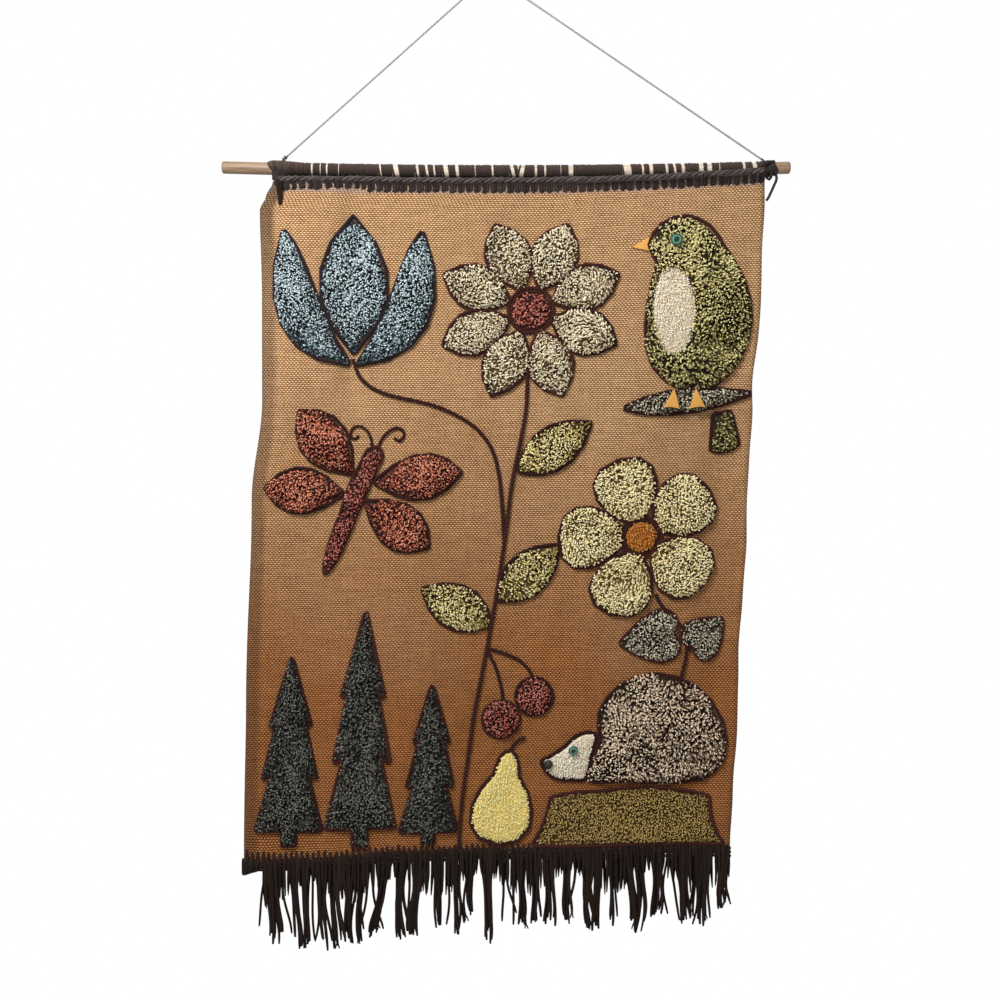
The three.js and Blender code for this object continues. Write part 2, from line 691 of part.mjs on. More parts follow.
function addHedgehog() {
  const overPile = PILE_HEIGHT + CLEARANCE;
  const overSheared = SHEARED_HEIGHT + CLEARANCE;
  const coat = { ...HEDGEHOG, down: HEDGEHOG.down - 2 };
  addPile('hedgehog_coat', HEDGEHOG_COAT, coat, FINISHES.brownPile);
  addPile('hedgehog_face', HEDGEHOG_FACE, coat, FINISHES.creamPile, SHEARED_HEIGHT, 2.5);
  const eye = within(HEDGEHOG, -75, 42, 0, 12);
  add('hedgehog_eye', flatPiece(oval(11, 11), eye, BUTTON_THICKNESS, overSheared),
    FINISHES.eyePlastic);
  const nose = within(HEDGEHOG, -105, 25, 0, 12);
  add('hedgehog_nose', flatPiece(oval(11, 10), nose, BUTTON_THICKNESS, overSheared),
    FINISHES.blackPlastic);
  const bank = { across: 473, down: 810 };
  addPile('mossy_bank', bankOutline(232, 66), bank, FINISHES.olivePile, SHEARED_HEIGHT, 2.5);
}

function addTreesAndFruit() {
  FIRS.forEach((tree, i) => {
    addPile(`fir_${i + 1}`, fir(tree.height, tree.width), tree, FINISHES.tealPile,
      PILE_HEIGHT, 2.5);
  });
  const pear = { across: 314, down: 808, turn: -5 };
  addPile('pear', pearOutline(112, 72), pear, FINISHES.yellowPile);
  const cherries = [{ across: 312, down: 656 }, { across: 352, down: 628 }];
  cherries.forEach((cherry, i) => {
    addPile(`cherry_${i + 1}`, oval(42, 42), { ...cherry, fineness: 14 }, FINISHES.maroonPile);
  });
}

function addLeaves() {
  for (const leaf of LEAVES) {
    addPile(leaf.name, almond(leaf.length, leaf.width, 0.45), leaf, FINISHES.limePile);
  }
  for (const leaf of HEART_LEAVES) {
    addPile(leaf.name, heartLeaf(leaf.length, leaf.width), leaf, FINISHES.tealPile);
  }
}

addRod();
addRodWrap();
addBinding();
addKnot();
addCords();
addCloth();
addFringe();
addTulip();
addDaisy();
addRose();
addBird();
addDragonfly();
addLeaves();
addTreesAndFruit();
addHedgehog();

export default group;
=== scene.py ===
"""A wall hanging of latch hook work, with the rod that it is laced to, finished for its pictures.

A hessian panel carries raised motifs of cut pile with yarn laid round them. Blanket stitches
hold its head to a twisted cord under a yarn-wrapped birch rod, and a yarn fringe closes its
foot. The panel is described flat, by millimetres across and down it, and then hung.
"""

import math
import random

import bmesh
import bpy
import numpy as np
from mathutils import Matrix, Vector


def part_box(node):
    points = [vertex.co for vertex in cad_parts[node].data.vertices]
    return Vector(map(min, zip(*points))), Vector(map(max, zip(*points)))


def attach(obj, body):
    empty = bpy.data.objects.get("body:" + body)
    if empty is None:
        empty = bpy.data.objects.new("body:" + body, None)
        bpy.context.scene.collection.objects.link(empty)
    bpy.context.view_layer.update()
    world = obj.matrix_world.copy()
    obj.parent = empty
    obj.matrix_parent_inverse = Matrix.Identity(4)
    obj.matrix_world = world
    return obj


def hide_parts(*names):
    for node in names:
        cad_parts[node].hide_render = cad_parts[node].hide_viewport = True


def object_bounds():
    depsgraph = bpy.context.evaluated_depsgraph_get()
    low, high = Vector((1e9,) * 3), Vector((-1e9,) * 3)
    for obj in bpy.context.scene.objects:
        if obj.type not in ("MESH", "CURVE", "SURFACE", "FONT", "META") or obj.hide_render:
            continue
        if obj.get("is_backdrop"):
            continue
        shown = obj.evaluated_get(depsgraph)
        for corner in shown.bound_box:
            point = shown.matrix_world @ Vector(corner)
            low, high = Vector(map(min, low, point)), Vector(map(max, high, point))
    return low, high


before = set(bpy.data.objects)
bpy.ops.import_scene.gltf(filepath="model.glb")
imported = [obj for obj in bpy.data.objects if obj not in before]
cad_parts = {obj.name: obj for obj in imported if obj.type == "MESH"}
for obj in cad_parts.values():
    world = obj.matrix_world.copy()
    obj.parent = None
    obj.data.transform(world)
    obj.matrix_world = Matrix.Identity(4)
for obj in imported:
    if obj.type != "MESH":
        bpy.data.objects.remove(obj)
CAD_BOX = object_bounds()

MM = 0.001
TURN = 2 * math.pi

# ---- measures of the piece, in millimetres ----

ROD_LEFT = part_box("dowel")[0].x / MM
ROD_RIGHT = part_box("dowel")[1].x / MM
ROD_THICK = 15.0
ROD_DROP = 231.5
ROD_BOW = 5.3

WRAP_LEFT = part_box("rod_wrap")[0].x / MM
WRAP_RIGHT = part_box("rod_wrap")[1].x / MM
CHAIN_BELOW = 12.9
CLOTH_BELOW = 16.2
LAP = 10.5  # how far forward of the rod's middle the panel's head lies where it laps the rod
LAP_STARTS = -17
LAP_ENDS = -3

CLOTH_WIDE = 600.0
CLOTH_LONG = 818.0
CLOTH_HEAD = -1.0  # the cloth reaches up behind the chain
CLOTH_THICK = 2.0
FOOT_LEFT = -1070.0
FOOT_RIGHT = -1060.5
FACE = CLOTH_THICK / 2

# Down the panel: how far down, where its left edge hangs, and how wide it is there.
EDGES = [
    (0, -266, 600),
    (17, -274.5, 608),
    (34, -282.5, 616),
    (144, -280, 609),
    (266, -280, 599),
    (388, -293, 606),
    (632, -300, 601),
    (CLOTH_LONG, -302.6, 594),
]

# Soft folds: across, spread, how far forward, and the stretch of the drop that they run.
FOLDS = [
    (62, 42, 8, -80, 330),
    (108, 13, -6, -80, 300),
    (192, 60, 4, -80, 900),
    (330, 66, -4, -20, 640),
    (470, 60, 5, -20, 560),
    (566, 26, -4, 120, 900),
    (60, 46, -4, 380, 900),
    (118, 36, 5, 560, 960),
    (300, 50, -5, 600, 960),
    (405, 44, 5, 560, 960),
    (505, 36, -4, 620, 960),
    (582, 24, 5, 600, 960),
]
FOLD_FADE = 90
HELD_FLAT = 0.3
HELD_DEPTH = 90
EDGE_CURL = 10
EDGE_CURL_WIDE = 34
RISE_LEFT = 2.1
RISE_RIGHT = 8.0
RISE_STARTS = 320
RISE_WIDE = 290
RISE_FADE = 150
HEM_DIP = 10.0
HEM_DIP_ENDS = 215
LAYING_STEPS = 12

# ---- how the panel hangs ----


def smooth(low, high, value):
    share = np.clip((value - low) / (high - low), 0, 1)
    return share * share * (3 - 2 * share)


def rod_axis(x):
    middle = (ROD_LEFT + ROD_RIGHT) / 2
    out = (x - middle) / ((ROD_RIGHT - ROD_LEFT) / 2)
    return -ROD_DROP - ROD_BOW * (1 - out * out)


def edges_at(down):
    left = np.full_like(down, EDGES[0][1], float)
    width = np.full_like(down, EDGES[0][2], float)
    for upper, lower in zip(EDGES, EDGES[1:]):
        share = smooth(upper[0], lower[0], down)
        left = left + (lower[1] - upper[1]) * share
        width = width + (lower[2] - upper[2]) * share
    return left, width


def forward(across, down):
    """How far the panel's folds bring it forward of the rod's middle."""
    out = np.zeros(np.broadcast(across, down).shape)
    for where, spread, height, start, end in FOLDS:
        begins = smooth(start, start + FOLD_FADE, down)
        ends = 1 - smooth(end - FOLD_FADE, end, down)
        out = out + height * np.exp(-(((across - where) / spread) ** 2)) * begins * ends
    held = HELD_FLAT + (1 - HELD_FLAT) * smooth(0, HELD_DEPTH, down)
    curl = np.clip(1 - across / EDGE_CURL_WIDE, 0, None)
    return held * (out - EDGE_CURL * curl * curl)


def head_rise(across):
    """How far the lacing draws the panel's head up, most at its right."""
    across = np.asarray(across, float)
    drawn = np.clip((across - RISE_STARTS) / RISE_WIDE, 0, 1) ** 1.35
    return RISE_LEFT * smooth(-60, 110, across) + RISE_RIGHT * drawn


def hang(across, down, lift=0.0):
    """Where a point of the flat panel hangs, in metres. Lift is its height off the cloth's middle."""
    across, down, lift = np.broadcast_arrays(*(np.asarray(v, float) for v in (across, down, lift)))
    left, width = edges_at(down)
    share = across / CLOTH_WIDE
    x = left + width * share
    top = rod_axis(x) - CLOTH_BELOW
    foot = FOOT_LEFT + (FOOT_RIGHT - FOOT_LEFT) * share
    z = top + (foot - top) * down / CLOTH_LONG + head_rise(across) * (1 - smooth(0, RISE_FADE, down))
    lapped = LAP * smooth(LAP_STARTS, LAP_ENDS, z - rod_axis(x))
    y = -forward(across, np.clip(down, 0, CLOTH_LONG)) - lapped - lift
    return np.stack([x, y, z], -1) * MM


def hem_dip(across, deep=HEM_DIP):
    """How far the hem hangs down at the panel's left."""
    return deep * (1 - smooth(30, HEM_DIP_ENDS, np.asarray(across, float)))


def laid_flat(points):
    """The across and down of hanging points, found by closing in on them."""
    x, z = points[:, 0] / MM, points[:, 2] / MM
    across, down = x + 290.0, -z - 250.0
    for _ in range(LAYING_STEPS):
        at = hang(across, down) / MM
        across = across + (x - at[:, 0])
        down = down - (z - at[:, 2])
    return across, down


# ---- node trees ----


def summed(operation, last=False):
    """A method that makes a maths node of a value and of what it is given."""

    def method(self, *others):
        return self.sum(operation, *((*others, self) if last else (self, *others)))

    return method


class Value:
    """A socket of a node tree, with the sums that the finishes are written in."""

    __add__ = summed("ADD")
    __radd__ = summed("ADD", last=True)
    __sub__ = summed("SUBTRACT")
    __rsub__ = summed("SUBTRACT", last=True)
    __mul__ = summed("MULTIPLY")
    __rmul__ = summed("MULTIPLY", last=True)
    __truediv__ = summed("DIVIDE")
    __pow__ = summed("POWER")
    sine = summed("SINE")
    floor = summed("FLOOR")
    fraction = summed("FRACT")
    size = summed("ABSOLUTE")
    over = summed("MAXIMUM")
    under = summed("LESS_THAN")

    def __init__(self, tree, socket):
        self.tree = tree
        self.socket = socket

    def sum(self, operation, *values):
        node = self.tree.make("ShaderNodeMath", {"operation": operation}, values)
        return self.tree.out(node)

    def clamped(self):
        node = self.tree.make("ShaderNodeClamp", {}, {"Value": self})
        return self.tree.out(node)

    def ramp(self, *stops):
        """A colour for each value, from stops of (place, colour)."""
        node = self.tree.make("ShaderNodeValToRGB", {}, {"Fac": self})
        marks = node.color_ramp.elements
        while len(marks) < len(stops):
            marks.new(0.5)
        for mark, (place, colour) in zip(marks, stops):
            mark.position = place
            mark.color = (*colour, 1.0)
        return self.tree.out(node)


class Tree:
    """A node tree that makes its nodes by type, settings and inputs."""

    def __init__(self, tree):
        self.tree = tree

    def make(self, kind, settings=None, inputs=None):
        node = self.tree.nodes.new(kind)
        for name, setting in (settings or {}).items():
            setattr(node, name, setting)
        pairs = inputs.items() if isinstance(inputs, dict) else enumerate(inputs or ())
        for key, value in pairs:
            if isinstance(value, Value):
                self.tree.links.new(value.socket, node.inputs[key])
            else:
                node.inputs[key].default_value = value
        return node

    def out(self, node, key=0):
        return Value(self, node.outputs[key])

    def vectors(self, operation, *values):
        node = self.make("ShaderNodeVectorMath", {"operation": operation}, values)
        return self.out(node)

    def scaled(self, vector, amount):
        settings = {"operation": "SCALE"}
        node = self.make("ShaderNodeVectorMath", settings, {0: vector, "Scale": amount})
        return self.out(node)

    def parts(self, vector):
        node = self.make("ShaderNodeSeparateXYZ", {}, {0: vector})
        return [self.out(node, key) for key in "XYZ"]

    def joined(self, x, y, z=0.0):
        return self.out(self.make("ShaderNodeCombineXYZ", {}, (x, y, z)))


class Finish(Tree):
    """A material in the making, with one Principled shader."""

    def __init__(self, name, roughness, **sockets):
        self.material = bpy.data.materials.new(name)
        self.material.use_nodes = True
        super().__init__(self.material.node_tree)
        self.shader = self.tree.nodes["Principled BSDF"]
        self.shader.inputs["Roughness"].default_value = roughness
        for socket, value in sockets.items():
            self.shader.inputs[socket.replace("_", " ")].default_value = value

    def wear(self, socket, value):
        self.tree.links.new(value.socket, self.shader.inputs[socket])

    def own_map(self):
        """How far round and how far along, from the piece's own map."""
        node = self.make("ShaderNodeUVMap", {"uv_map": "OFBake"})
        return self.parts(self.out(node))[:2]

    def places(self):
        node = self.make("ShaderNodeTexCoord")
        return self.out(node, "Object")

    def noise(self, vector, scale, detail):
        inputs = {"Vector": vector, "Scale": scale, "Detail": detail}
        return self.out(self.make("ShaderNodeTexNoise", {}, inputs))

    def stretched(self, vector, scale):
        return self.vectors("MULTIPLY", vector, scale)

    def blend(self, share, first, second, how="MIX"):
        node = self.make("ShaderNodeMix", {"data_type": "RGBA", "blend_type": how})
        for key, value in (("Factor_Float", share), ("A_Color", first), ("B_Color", second)):
            socket = next(s for s in node.inputs if s.identifier == key)
            if isinstance(value, Value):
                self.tree.links.new(value.socket, socket)
            elif key == "Factor_Float":
                socket.default_value = value
            else:
                socket.default_value = (*value, 1.0)
        result = next(s for s in node.outputs if s.identifier == "Result_Color")
        return Value(self, result)

    def shaded(self, colour, amount):
        """A colour made darker or lighter by an amount that varies."""
        return self.blend(1.0, colour, self.joined(amount, amount, amount), "MULTIPLY")

    def bump(self, height, distance, strength):
        inputs = {"Height": height, "Distance": distance, "Strength": strength}
        self.wear("Normal", self.out(self.make("ShaderNodeBump", {}, inputs)))


# ---- helpers for modelling ----


def only(*pieces):
    """Selects these pieces alone and makes the first one active."""
    bpy.ops.object.select_all(action="DESELECT")
    for piece in pieces:
        piece.select_set(True)
    bpy.context.view_layer.objects.active = pieces[0]


def editing(piece):
    """Opens a piece's mesh by its vertices, with all of them selected."""
    only(piece)
    bpy.ops.object.mode_set(mode="EDIT")
    bpy.ops.mesh.select_mode(type="VERT")
    bpy.ops.mesh.select_all(action="SELECT")


def edited():
    bpy.ops.object.mode_set(mode="OBJECT")


def apply_all(piece):
    only(piece)
    for modifier in list(piece.modifiers):
        bpy.ops.object.modifier_apply(modifier=modifier.name)


def points_of(piece):
    points = np.empty(len(piece.data.vertices) * 3)
    piece.data.vertices.foreach_get("co", points)
    return points.reshape(-1, 3)


def put_points(piece, points):
    piece.data.vertices.foreach_set("co", np.ascontiguousarray(points, float).ravel())
    piece.data.update()


def copy_of(node, name):
    """A copy of a CAD node's mesh to work on, its loose triangles merged."""
    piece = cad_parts[node].copy()
    piece.data = piece.data.copy()
    piece.parent = None
    for key in list(piece.keys()):
        del piece[key]
    piece.name = name
    bpy.context.scene.collection.objects.link(piece)
    piece.hide_render = False
    piece.data.materials.clear()
    editing(piece)
    bpy.ops.mesh.remove_doubles(threshold=0.02 * MM)
    edited()
    return piece


def done(piece, finish, slot, *nodes, smooth_angle=None):
    """Gives a piece its finish and its place in the frame."""
    piece.data.materials.clear()
    piece.data.materials.append(finish)
    if smooth_angle:
        only(piece)
        bpy.ops.object.shade_smooth_by_angle(angle=math.radians(smooth_angle))
    if nodes:
        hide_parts(*nodes)
    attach(piece, "root")
    return piece


def rounded(points, step, closed=False):
    """Evenly spaced points on a smooth line through the given ones."""
    points = np.asarray(points, float)
    count = len(points)
    if closed:
        padded = points[[-1, *range(count), 0, 1]]
    else:
        first = 2 * points[0] - points[1]
        last = 2 * points[-1] - points[-2]
        padded = np.vstack([first, points, last])
    t = np.linspace(0, 1, 12, endpoint=False)[:, None]
    parts = []
    for a, b, c, d in zip(padded, padded[1:], padded[2:], padded[3:]):
        curve = 2 * b + (c - a) * t + (2 * a - 5 * b + 4 * c - d) * t**2
        parts.append((curve + (3 * b - a - 3 * c + d) * t**3) / 2)
    line = np.vstack(parts + [points[:1] if closed else points[-1:]])
    return spaced(line, step, closed)


def spaced(line, step, closed=False):
    """The same line with points about a step apart."""
    gone = np.linalg.norm(np.diff(line, axis=0), axis=1)
    along = np.concatenate([[0], np.cumsum(gone)])
    count = max(2, round(along[-1] / step))
    marks = np.linspace(0, along[-1], count + 1)
    even = np.stack([np.interp(marks, along, line[:, k]) for k in range(3)], -1)
    return even[:-1] if closed else even


def length_of(line):
    return float(np.linalg.norm(np.diff(line, axis=0), axis=1).sum())


SHADES = 4  # a yarn's strands come in this many shades


class Skein:
    """Strands of yarn that become one piece. Its map runs round each strand and along its twist."""

    def __init__(self, name, sides, rings_a_twist=2, seed=0):
        self.name = name
        self.rings = rings_a_twist
        self.curve = bpy.data.curves.new(name, "CURVE")
        self.curve.dimensions = "3D"
        self.curve.bevel_depth = 1.0
        self.curve.bevel_resolution = (sides - 4) // 2
        self.sides = sides
        self.made = []
        self.random = random.Random(seed)

    def lay(self, line, thick, closed=False, shade=None):
        """Adds a strand along an even line, with rounded ends. Thick may vary along it."""
        line = np.asarray(line, float)
        radii = np.broadcast_to(np.asarray(thick, float) * MM / 2, len(line)).copy()
        if not closed:
            start = line[0] - line[1]
            end = line[-1] - line[-2]
            start *= radii[0] / np.linalg.norm(start)
            end *= radii[-1] / np.linalg.norm(end)
            line = np.vstack([line[0] + start, line[0] + start * 0.6, line[1:-1],
                              line[-1] + end * 0.6, line[-1] + end])
            radii = np.concatenate([[1e-6], [radii[0] * 0.8], radii[1:-1], [radii[-1] * 0.8], [1e-6]])
        spline = self.curve.splines.new("POLY")
        spline.points.add(len(line) - 1)
        spline.points.foreach_set("co", np.hstack([line, np.ones((len(line), 1))]).ravel())
        spline.points.foreach_set("radius", radii)
        spline.use_cyclic_u = closed
        shade = self.random.randrange(SHADES) if shade is None else shade
        self.made.append((len(line), closed, shade))

    def spun(self):
        """Turns the strands into a mesh with its map, and closes their ends."""
        piece = bpy.data.objects.new(self.name, self.curve)
        bpy.context.scene.collection.objects.link(piece)
        only(piece)
        bpy.ops.object.convert(target="MESH")
        mesh = piece.data
        for layer in list(mesh.uv_layers):
            mesh.uv_layers.remove(layer)
        ring, strand = [], []
        for number, (count, _, _) in enumerate(self.made):
            ring += range(count)
            strand += [number] * count
        ring = np.repeat(ring, self.sides)
        strand = np.repeat(strand, self.sides)
        side = np.tile(np.arange(self.sides), len(ring) // self.sides)
        assert len(ring) == len(mesh.vertices)
        corners = np.empty(len(mesh.loops), int)
        mesh.loops.foreach_get("vertex_index", corners)
        corners = corners.reshape(-1, 4)
        round_it = side[corners]
        wraps = round_it.max(1, keepdims=True) - round_it.min(1, keepdims=True) > 1
        round_it = round_it + self.sides * (wraps & (round_it == 0))
        along = ring[corners]
        last = np.array([count for count, _, _ in self.made])[strand[corners[:, :1]]]
        wraps = along.max(1, keepdims=True) - along.min(1, keepdims=True) > 1
        along = along + last * (wraps & (along == 0))
        along = along - along.min(1, keepdims=True) // self.rings * self.rings
        shade = np.array([shade for _, _, shade in self.made])[strand[corners]]
        u = (shade + round_it / self.sides) / SHADES
        v = along / self.rings
        own = mesh.uv_layers.new(name="OFBake")
        own.data.foreach_set("uv", np.stack([u, v], -1).ravel())
        editing(piece)
        bpy.ops.mesh.remove_doubles(threshold=0.01 * MM)
        bpy.ops.mesh.normals_make_consistent(inside=False)
        edited()
        bpy.ops.object.shade_smooth()
        return piece


def turned(name, rings, sides, filled=False):
    """A round form drawn up ring by ring from (radius, height, mark), and closed at its top.

    Its map runs round it, and by the rings' marks from its foot to its top.
    """
    radius, height, _ = rings[0]
    bpy.ops.mesh.primitive_circle_add(vertices=sides, radius=radius * MM, location=(0, 0, 0),
                                      fill_type="NGON" if filled else "NOTHING")
    piece = bpy.context.object
    piece.name = name
    editing(piece)
    bpy.ops.transform.translate(value=(0, 0, height * MM))
    for wider, higher, _ in rings[1:]:
        rise = (0, 0, (higher - height) * MM)
        bpy.ops.mesh.extrude_region_move(TRANSFORM_OT_translate={"value": rise})
        bpy.ops.transform.resize(value=(wider / radius, wider / radius, 1))
        radius, height = wider, higher
    bpy.ops.mesh.merge(type="CENTER")
    bpy.ops.mesh.select_all(action="SELECT")
    bpy.ops.mesh.normals_make_consistent(inside=False)
    edited()
    places = points_of(piece)
    marks = [mark for _, _, mark in rings]
    own = piece.data.uv_layers.new(name="OFBake")
    for face in piece.data.polygons:
        middle = math.atan2(face.center.y, face.center.x)
        for corner in face.loop_indices:
            number = piece.data.loops[corner].vertex_index
            x, y, _ = places[number]
            angle = math.atan2(y, x) if math.hypot(x, y) > 1e-5 else middle
            angle = middle + (angle - middle + math.pi) % TURN - math.pi
            own.data[corner].uv = (angle / TURN + 0.5, marks[min(number // sides, len(marks) - 1)])
    return piece


# ---- finishes ----


def yarn_finish(name, dark, light, plies=3, sheen=0.05, painted_top_light=0.0):
    """Spun yarn: its plies wind round it, each strand is a little paler or darker.

    Yarn on the rod may carry painted light: paler on its upper side and darker beneath, as if lit from above.
    """
    made = Finish(name, 0.85, Sheen_Weight=sheen, Sheen_Roughness=0.5, Specular_IOR_Level=0.12)
    u, v = made.own_map()
    lane = (u * SHADES).floor() / SHADES
    turned = ((u * SHADES).fraction() + v) * plies
    # Painted highlight and shade: the plies' crowns take the light colour and the grooves between them the
    # dark one.
    crown = (turned * (TURN / 2)).sine().size()
    fibre = made.noise(made.joined(turned * 1.0, v * 2.0 + lane * 9.0, u * 60.0), 5.0, 3.0)
    tone = (crown * 0.75 + fibre * 0.6 - 0.2).clamped()
    colour = made.blend(tone, dark, light)
    shade = lane * 0.7 + 0.65
    # Painted light and shade: the yarn is paler on the rod's upper side and darker beneath it.
    if painted_top_light:
        x, _, z = made.parts(made.places())
        out = (x - (ROD_LEFT + ROD_RIGHT) / 2 * MM) / ((ROD_RIGHT - ROD_LEFT) / 2 * MM)
        above = (z + (ROD_DROP + ROD_BOW) * MM - out * out * (ROD_BOW * MM)) / (ROD_THICK / 2 * MM)
        shade = shade * (above * painted_top_light + 1.0)
    made.wear("Base Color", made.shaded(colour, shade))
    made.bump(crown ** 0.6 + fibre * 0.2, 0.35 * MM, 0.9)
    return made.material


PALETTES = {}  # each pile's middle and light colours, for its back


def pile_finish(name, dark, middle, light, tip, body=0.34):
    """Heather yarn, cut: u is the shade of a tuft and v runs from its root to its tip. Each tuft darkens
    towards its root as painted shade between the tufts, and is palest at its tip as painted light.
    """
    made = Finish(name, 0.9, Sheen_Weight=0.1, Sheen_Roughness=0.6, Specular_IOR_Level=0.15)
    PALETTES[name] = (middle, light)
    u, v = made.own_map()
    fibre = made.noise(made.joined(u * 260.0, v * 3.0, 0.0), 1.0, 1.0)
    tone = (v * 1.6 - 0.40) * (body + u * 0.95) + (fibre - 0.5) * 0.3
    stops = ((0.0, dark), (0.28, middle), (0.60, light), (0.96, tip))
    made.wear("Base Color", tone.clamped().ramp(*stops))
    return made.material


BIRCH_PALE = [(0.42, 0.28, 0.17), (0.84, 0.74, 0.61)]
BIRCH_DARK = [(0.12, 0.066, 0.034), (0.36, 0.275, 0.195)]


def birch_finish():
    """Birch with its grain along the rod: handled and browner at its bare ends, pale where it was wrapped."""
    made = Finish("bare_birch", 0.5)
    place = made.places()
    grain = made.noise(made.stretched(place, (6.0, 130.0, 130.0)), 3.0, 5.0)
    pores = made.noise(made.stretched(place, (40.0, 900.0, 900.0)), 1.0, 3.0)
    tone = (grain * 1.6 - 0.5 + pores * 0.3).clamped()
    ends, wrapped = (made.blend(tone, dark, pale) for dark, pale in zip(BIRCH_DARK, BIRCH_PALE))
    off_middle = (made.parts(place)[0] - (WRAP_LEFT + WRAP_RIGHT) / 2 * MM).size()
    inner = (((WRAP_RIGHT - WRAP_LEFT) / 2 * MM - off_middle) / (12 * MM)).clamped()
    made.wear("Base Color", made.blend(inner, ends, wrapped))
    made.wear("Roughness", 0.42 + pores * 0.25)
    made.bump(grain * 0.6 + pores * 0.4, 0.12 * MM, 0.5)
    return made.material


WARP_PITCH = 2.12
WEFT_PITCH = 2.46
# Each pair holds the colour at the cloth's head, then at its foot. The gap colour is painted shade between
# the threads and the pale one a painted highlight on their crowns.
HESSIAN_GAP = [(0.11, 0.045, 0.013), (0.045, 0.012, 0.003)]
HESSIAN_THREAD = [(0.45, 0.230, 0.092), (0.26, 0.082, 0.017)]
HESSIAN_PALE = [(0.81, 0.54, 0.305), (0.54, 0.235, 0.07)]
HESSIAN_HEAD = (0.40, 0.29, 0.235)


def hessian_finish():
    """Jute cloth in plain weave, its weft the plainer to see, browner and darker at its foot and greyer at
    its head. Part of the darkening at its foot is painted shade, of light that falls off down the panel.

    Its map is the flat panel, so the threads follow the folds.
    """
    made = Finish("hessian_weave", 0.92, Sheen_Weight=0.05, Sheen_Roughness=0.6, Specular_IOR_Level=0.2)
    node = made.make("ShaderNodeUVMap", {"uv_map": "OFBake"})
    flat = made.stretched(made.out(node), (CLOTH_WIDE, CLOTH_LONG, 0.0))
    sway = made.noise(flat, 0.012, 2.0) * 4.0
    fine = made.noise(flat, 0.17, 2.0) * 1.3
    x, y, _ = made.parts(flat)
    other = made.noise(made.joined(y, x, 40.0), 0.17, 2.0) * 1.3
    bunched = made.noise(made.joined(x * 0.09, 0.0, 3.0), 1.0, 2.0) * 1.4
    beaten = made.noise(made.joined(0.0, y * 0.09, 5.0), 1.0, 2.0) * 1.4
    warp = (x + fine + sway + bunched) / WARP_PITCH
    weft = (y + other + sway + beaten) / WEFT_PITCH
    half = TURN / 2
    warp_wave = (warp * half + half / 2).sine()
    weft_wave = (weft * half + half / 2).sine()
    over = warp_wave * weft_wave * 0.5
    warp_high = warp_wave * warp_wave * (over * 0.6 + 0.38)
    weft_high = weft_wave * weft_wave * (0.84 - over * 0.5)
    height = warp_high.over(weft_high)
    slub = made.noise(made.joined(x * 0.035, (weft + 0.5).floor() * 3.7, 0.0), 1.0, 3.0)
    end = made.noise(made.joined((warp + 0.5).floor() * 5.3, y * 0.04, 7.0), 1.0, 2.0)
    cloud = made.noise(flat, 0.006, 3.0)
    # Painted highlight and shade of the weave: the threads' crowns are pale, the gaps between them dark.
    tone = (height * 1.35 - over * 0.85 + (slub - 0.5) * 0.55 + (end - 0.5) * 0.4 - 0.17).clamped()
    upper, lower = (
        tone.ramp((0.0, gap), (0.5, thread), (1.0, pale))
        for gap, thread, pale in zip(HESSIAN_GAP, HESSIAN_THREAD, HESSIAN_PALE)
    )
    # Towards the foot the lower colours take over: a browner cloth, and painted shade of light falling off
    # downwards.
    low = (1.46 - y * (2.1 / CLOTH_LONG) + (cloud - 0.5) * 0.9).clamped()
    colour = made.blend(low, upper, lower)
    head = ((y - CLOTH_LONG + 16.0) / 4.0).clamped() * 0.75
    colour = made.blend(head, colour, made.shaded(HESSIAN_HEAD, tone + 0.35))
    # Painted shade: the curled left edge, which turns away from the light, is darkened.
    curled = ((EDGE_CURL_WIDE * 0.6 - x) / 7.0).clamped() * (((y - 700.0) / 90.0).clamped() * 0.25 + 0.4)
    made.wear("Base Color", made.shaded(colour, (0.78 + cloud * 0.24) * (1.0 - curled)))
    made.bump(height + slub * 0.5, 0.5 * MM, 0.8)
    return made.material


def felt_finish(name, dark, light):
    made = Finish(name, 0.95, Sheen_Weight=0.3)
    place = made.places()
    felted = made.noise(place, 900.0, 4.0)
    cloud = made.noise(place, 90.0, 2.0)
    made.wear("Base Color", made.blend((felted * 0.9 + cloud * 0.5 - 0.2).clamped(), dark, light))
    made.bump(felted, 0.4 * MM, 0.8)
    return made.material


def plastic_finish(name, *stops):
    """Satin button plastic, its colour going by rings from its edge to its middle."""
    made = Finish(name, 0.45, Specular_IOR_Level=0.3)
    _, v = made.own_map()
    swirl = made.noise(made.places(), 300.0, 2.0)
    made.wear("Base Color", made.shaded(v.ramp(*stops), 0.85 + swirl * 0.3))
    made.wear("Roughness", 0.38 + swirl * 0.16)
    return made.material


DARK_YARN = yarn_finish("dark_brown_yarn", (0.007, 0.004, 0.004), (0.062, 0.044, 0.040))
# The chain's yarn is the dark yarn with much paler crowns: painted highlights along its plies.
CHAIN_YARN = yarn_finish("dark_chain_yarn", (0.001, 0.0006, 0.0006), (0.17, 0.135, 0.128), sheen=0.03)
# The wrapping yarn carries painted light: paler over the top of the rod, darker under it.
WRAP_YARN = yarn_finish("brown_wrapping_yarn", (0.011, 0.006, 0.004), (0.088, 0.058, 0.047), painted_top_light=0.6)
FRINGE_YARN = yarn_finish("black_brown_fringe_yarn", (0.004, 0.0025, 0.002), (0.026, 0.015, 0.011), sheen=0.0)
MAROON_YARN = yarn_finish("maroon_outline_yarn", (0.006, 0.0015, 0.001), (0.062, 0.016, 0.012))
HEM_YARN = yarn_finish("hem_yarn", (0.006, 0.0025, 0.002), (0.048, 0.020, 0.016))
BLACK_YARN = yarn_finish("black_outline_yarn", (0.004, 0.003, 0.004), (0.026, 0.016, 0.018))
GREY_CORD = yarn_finish("grey_cord", (0.18, 0.184, 0.184), (0.44, 0.45, 0.45), plies=2)

# ---- camera, light and floor ----

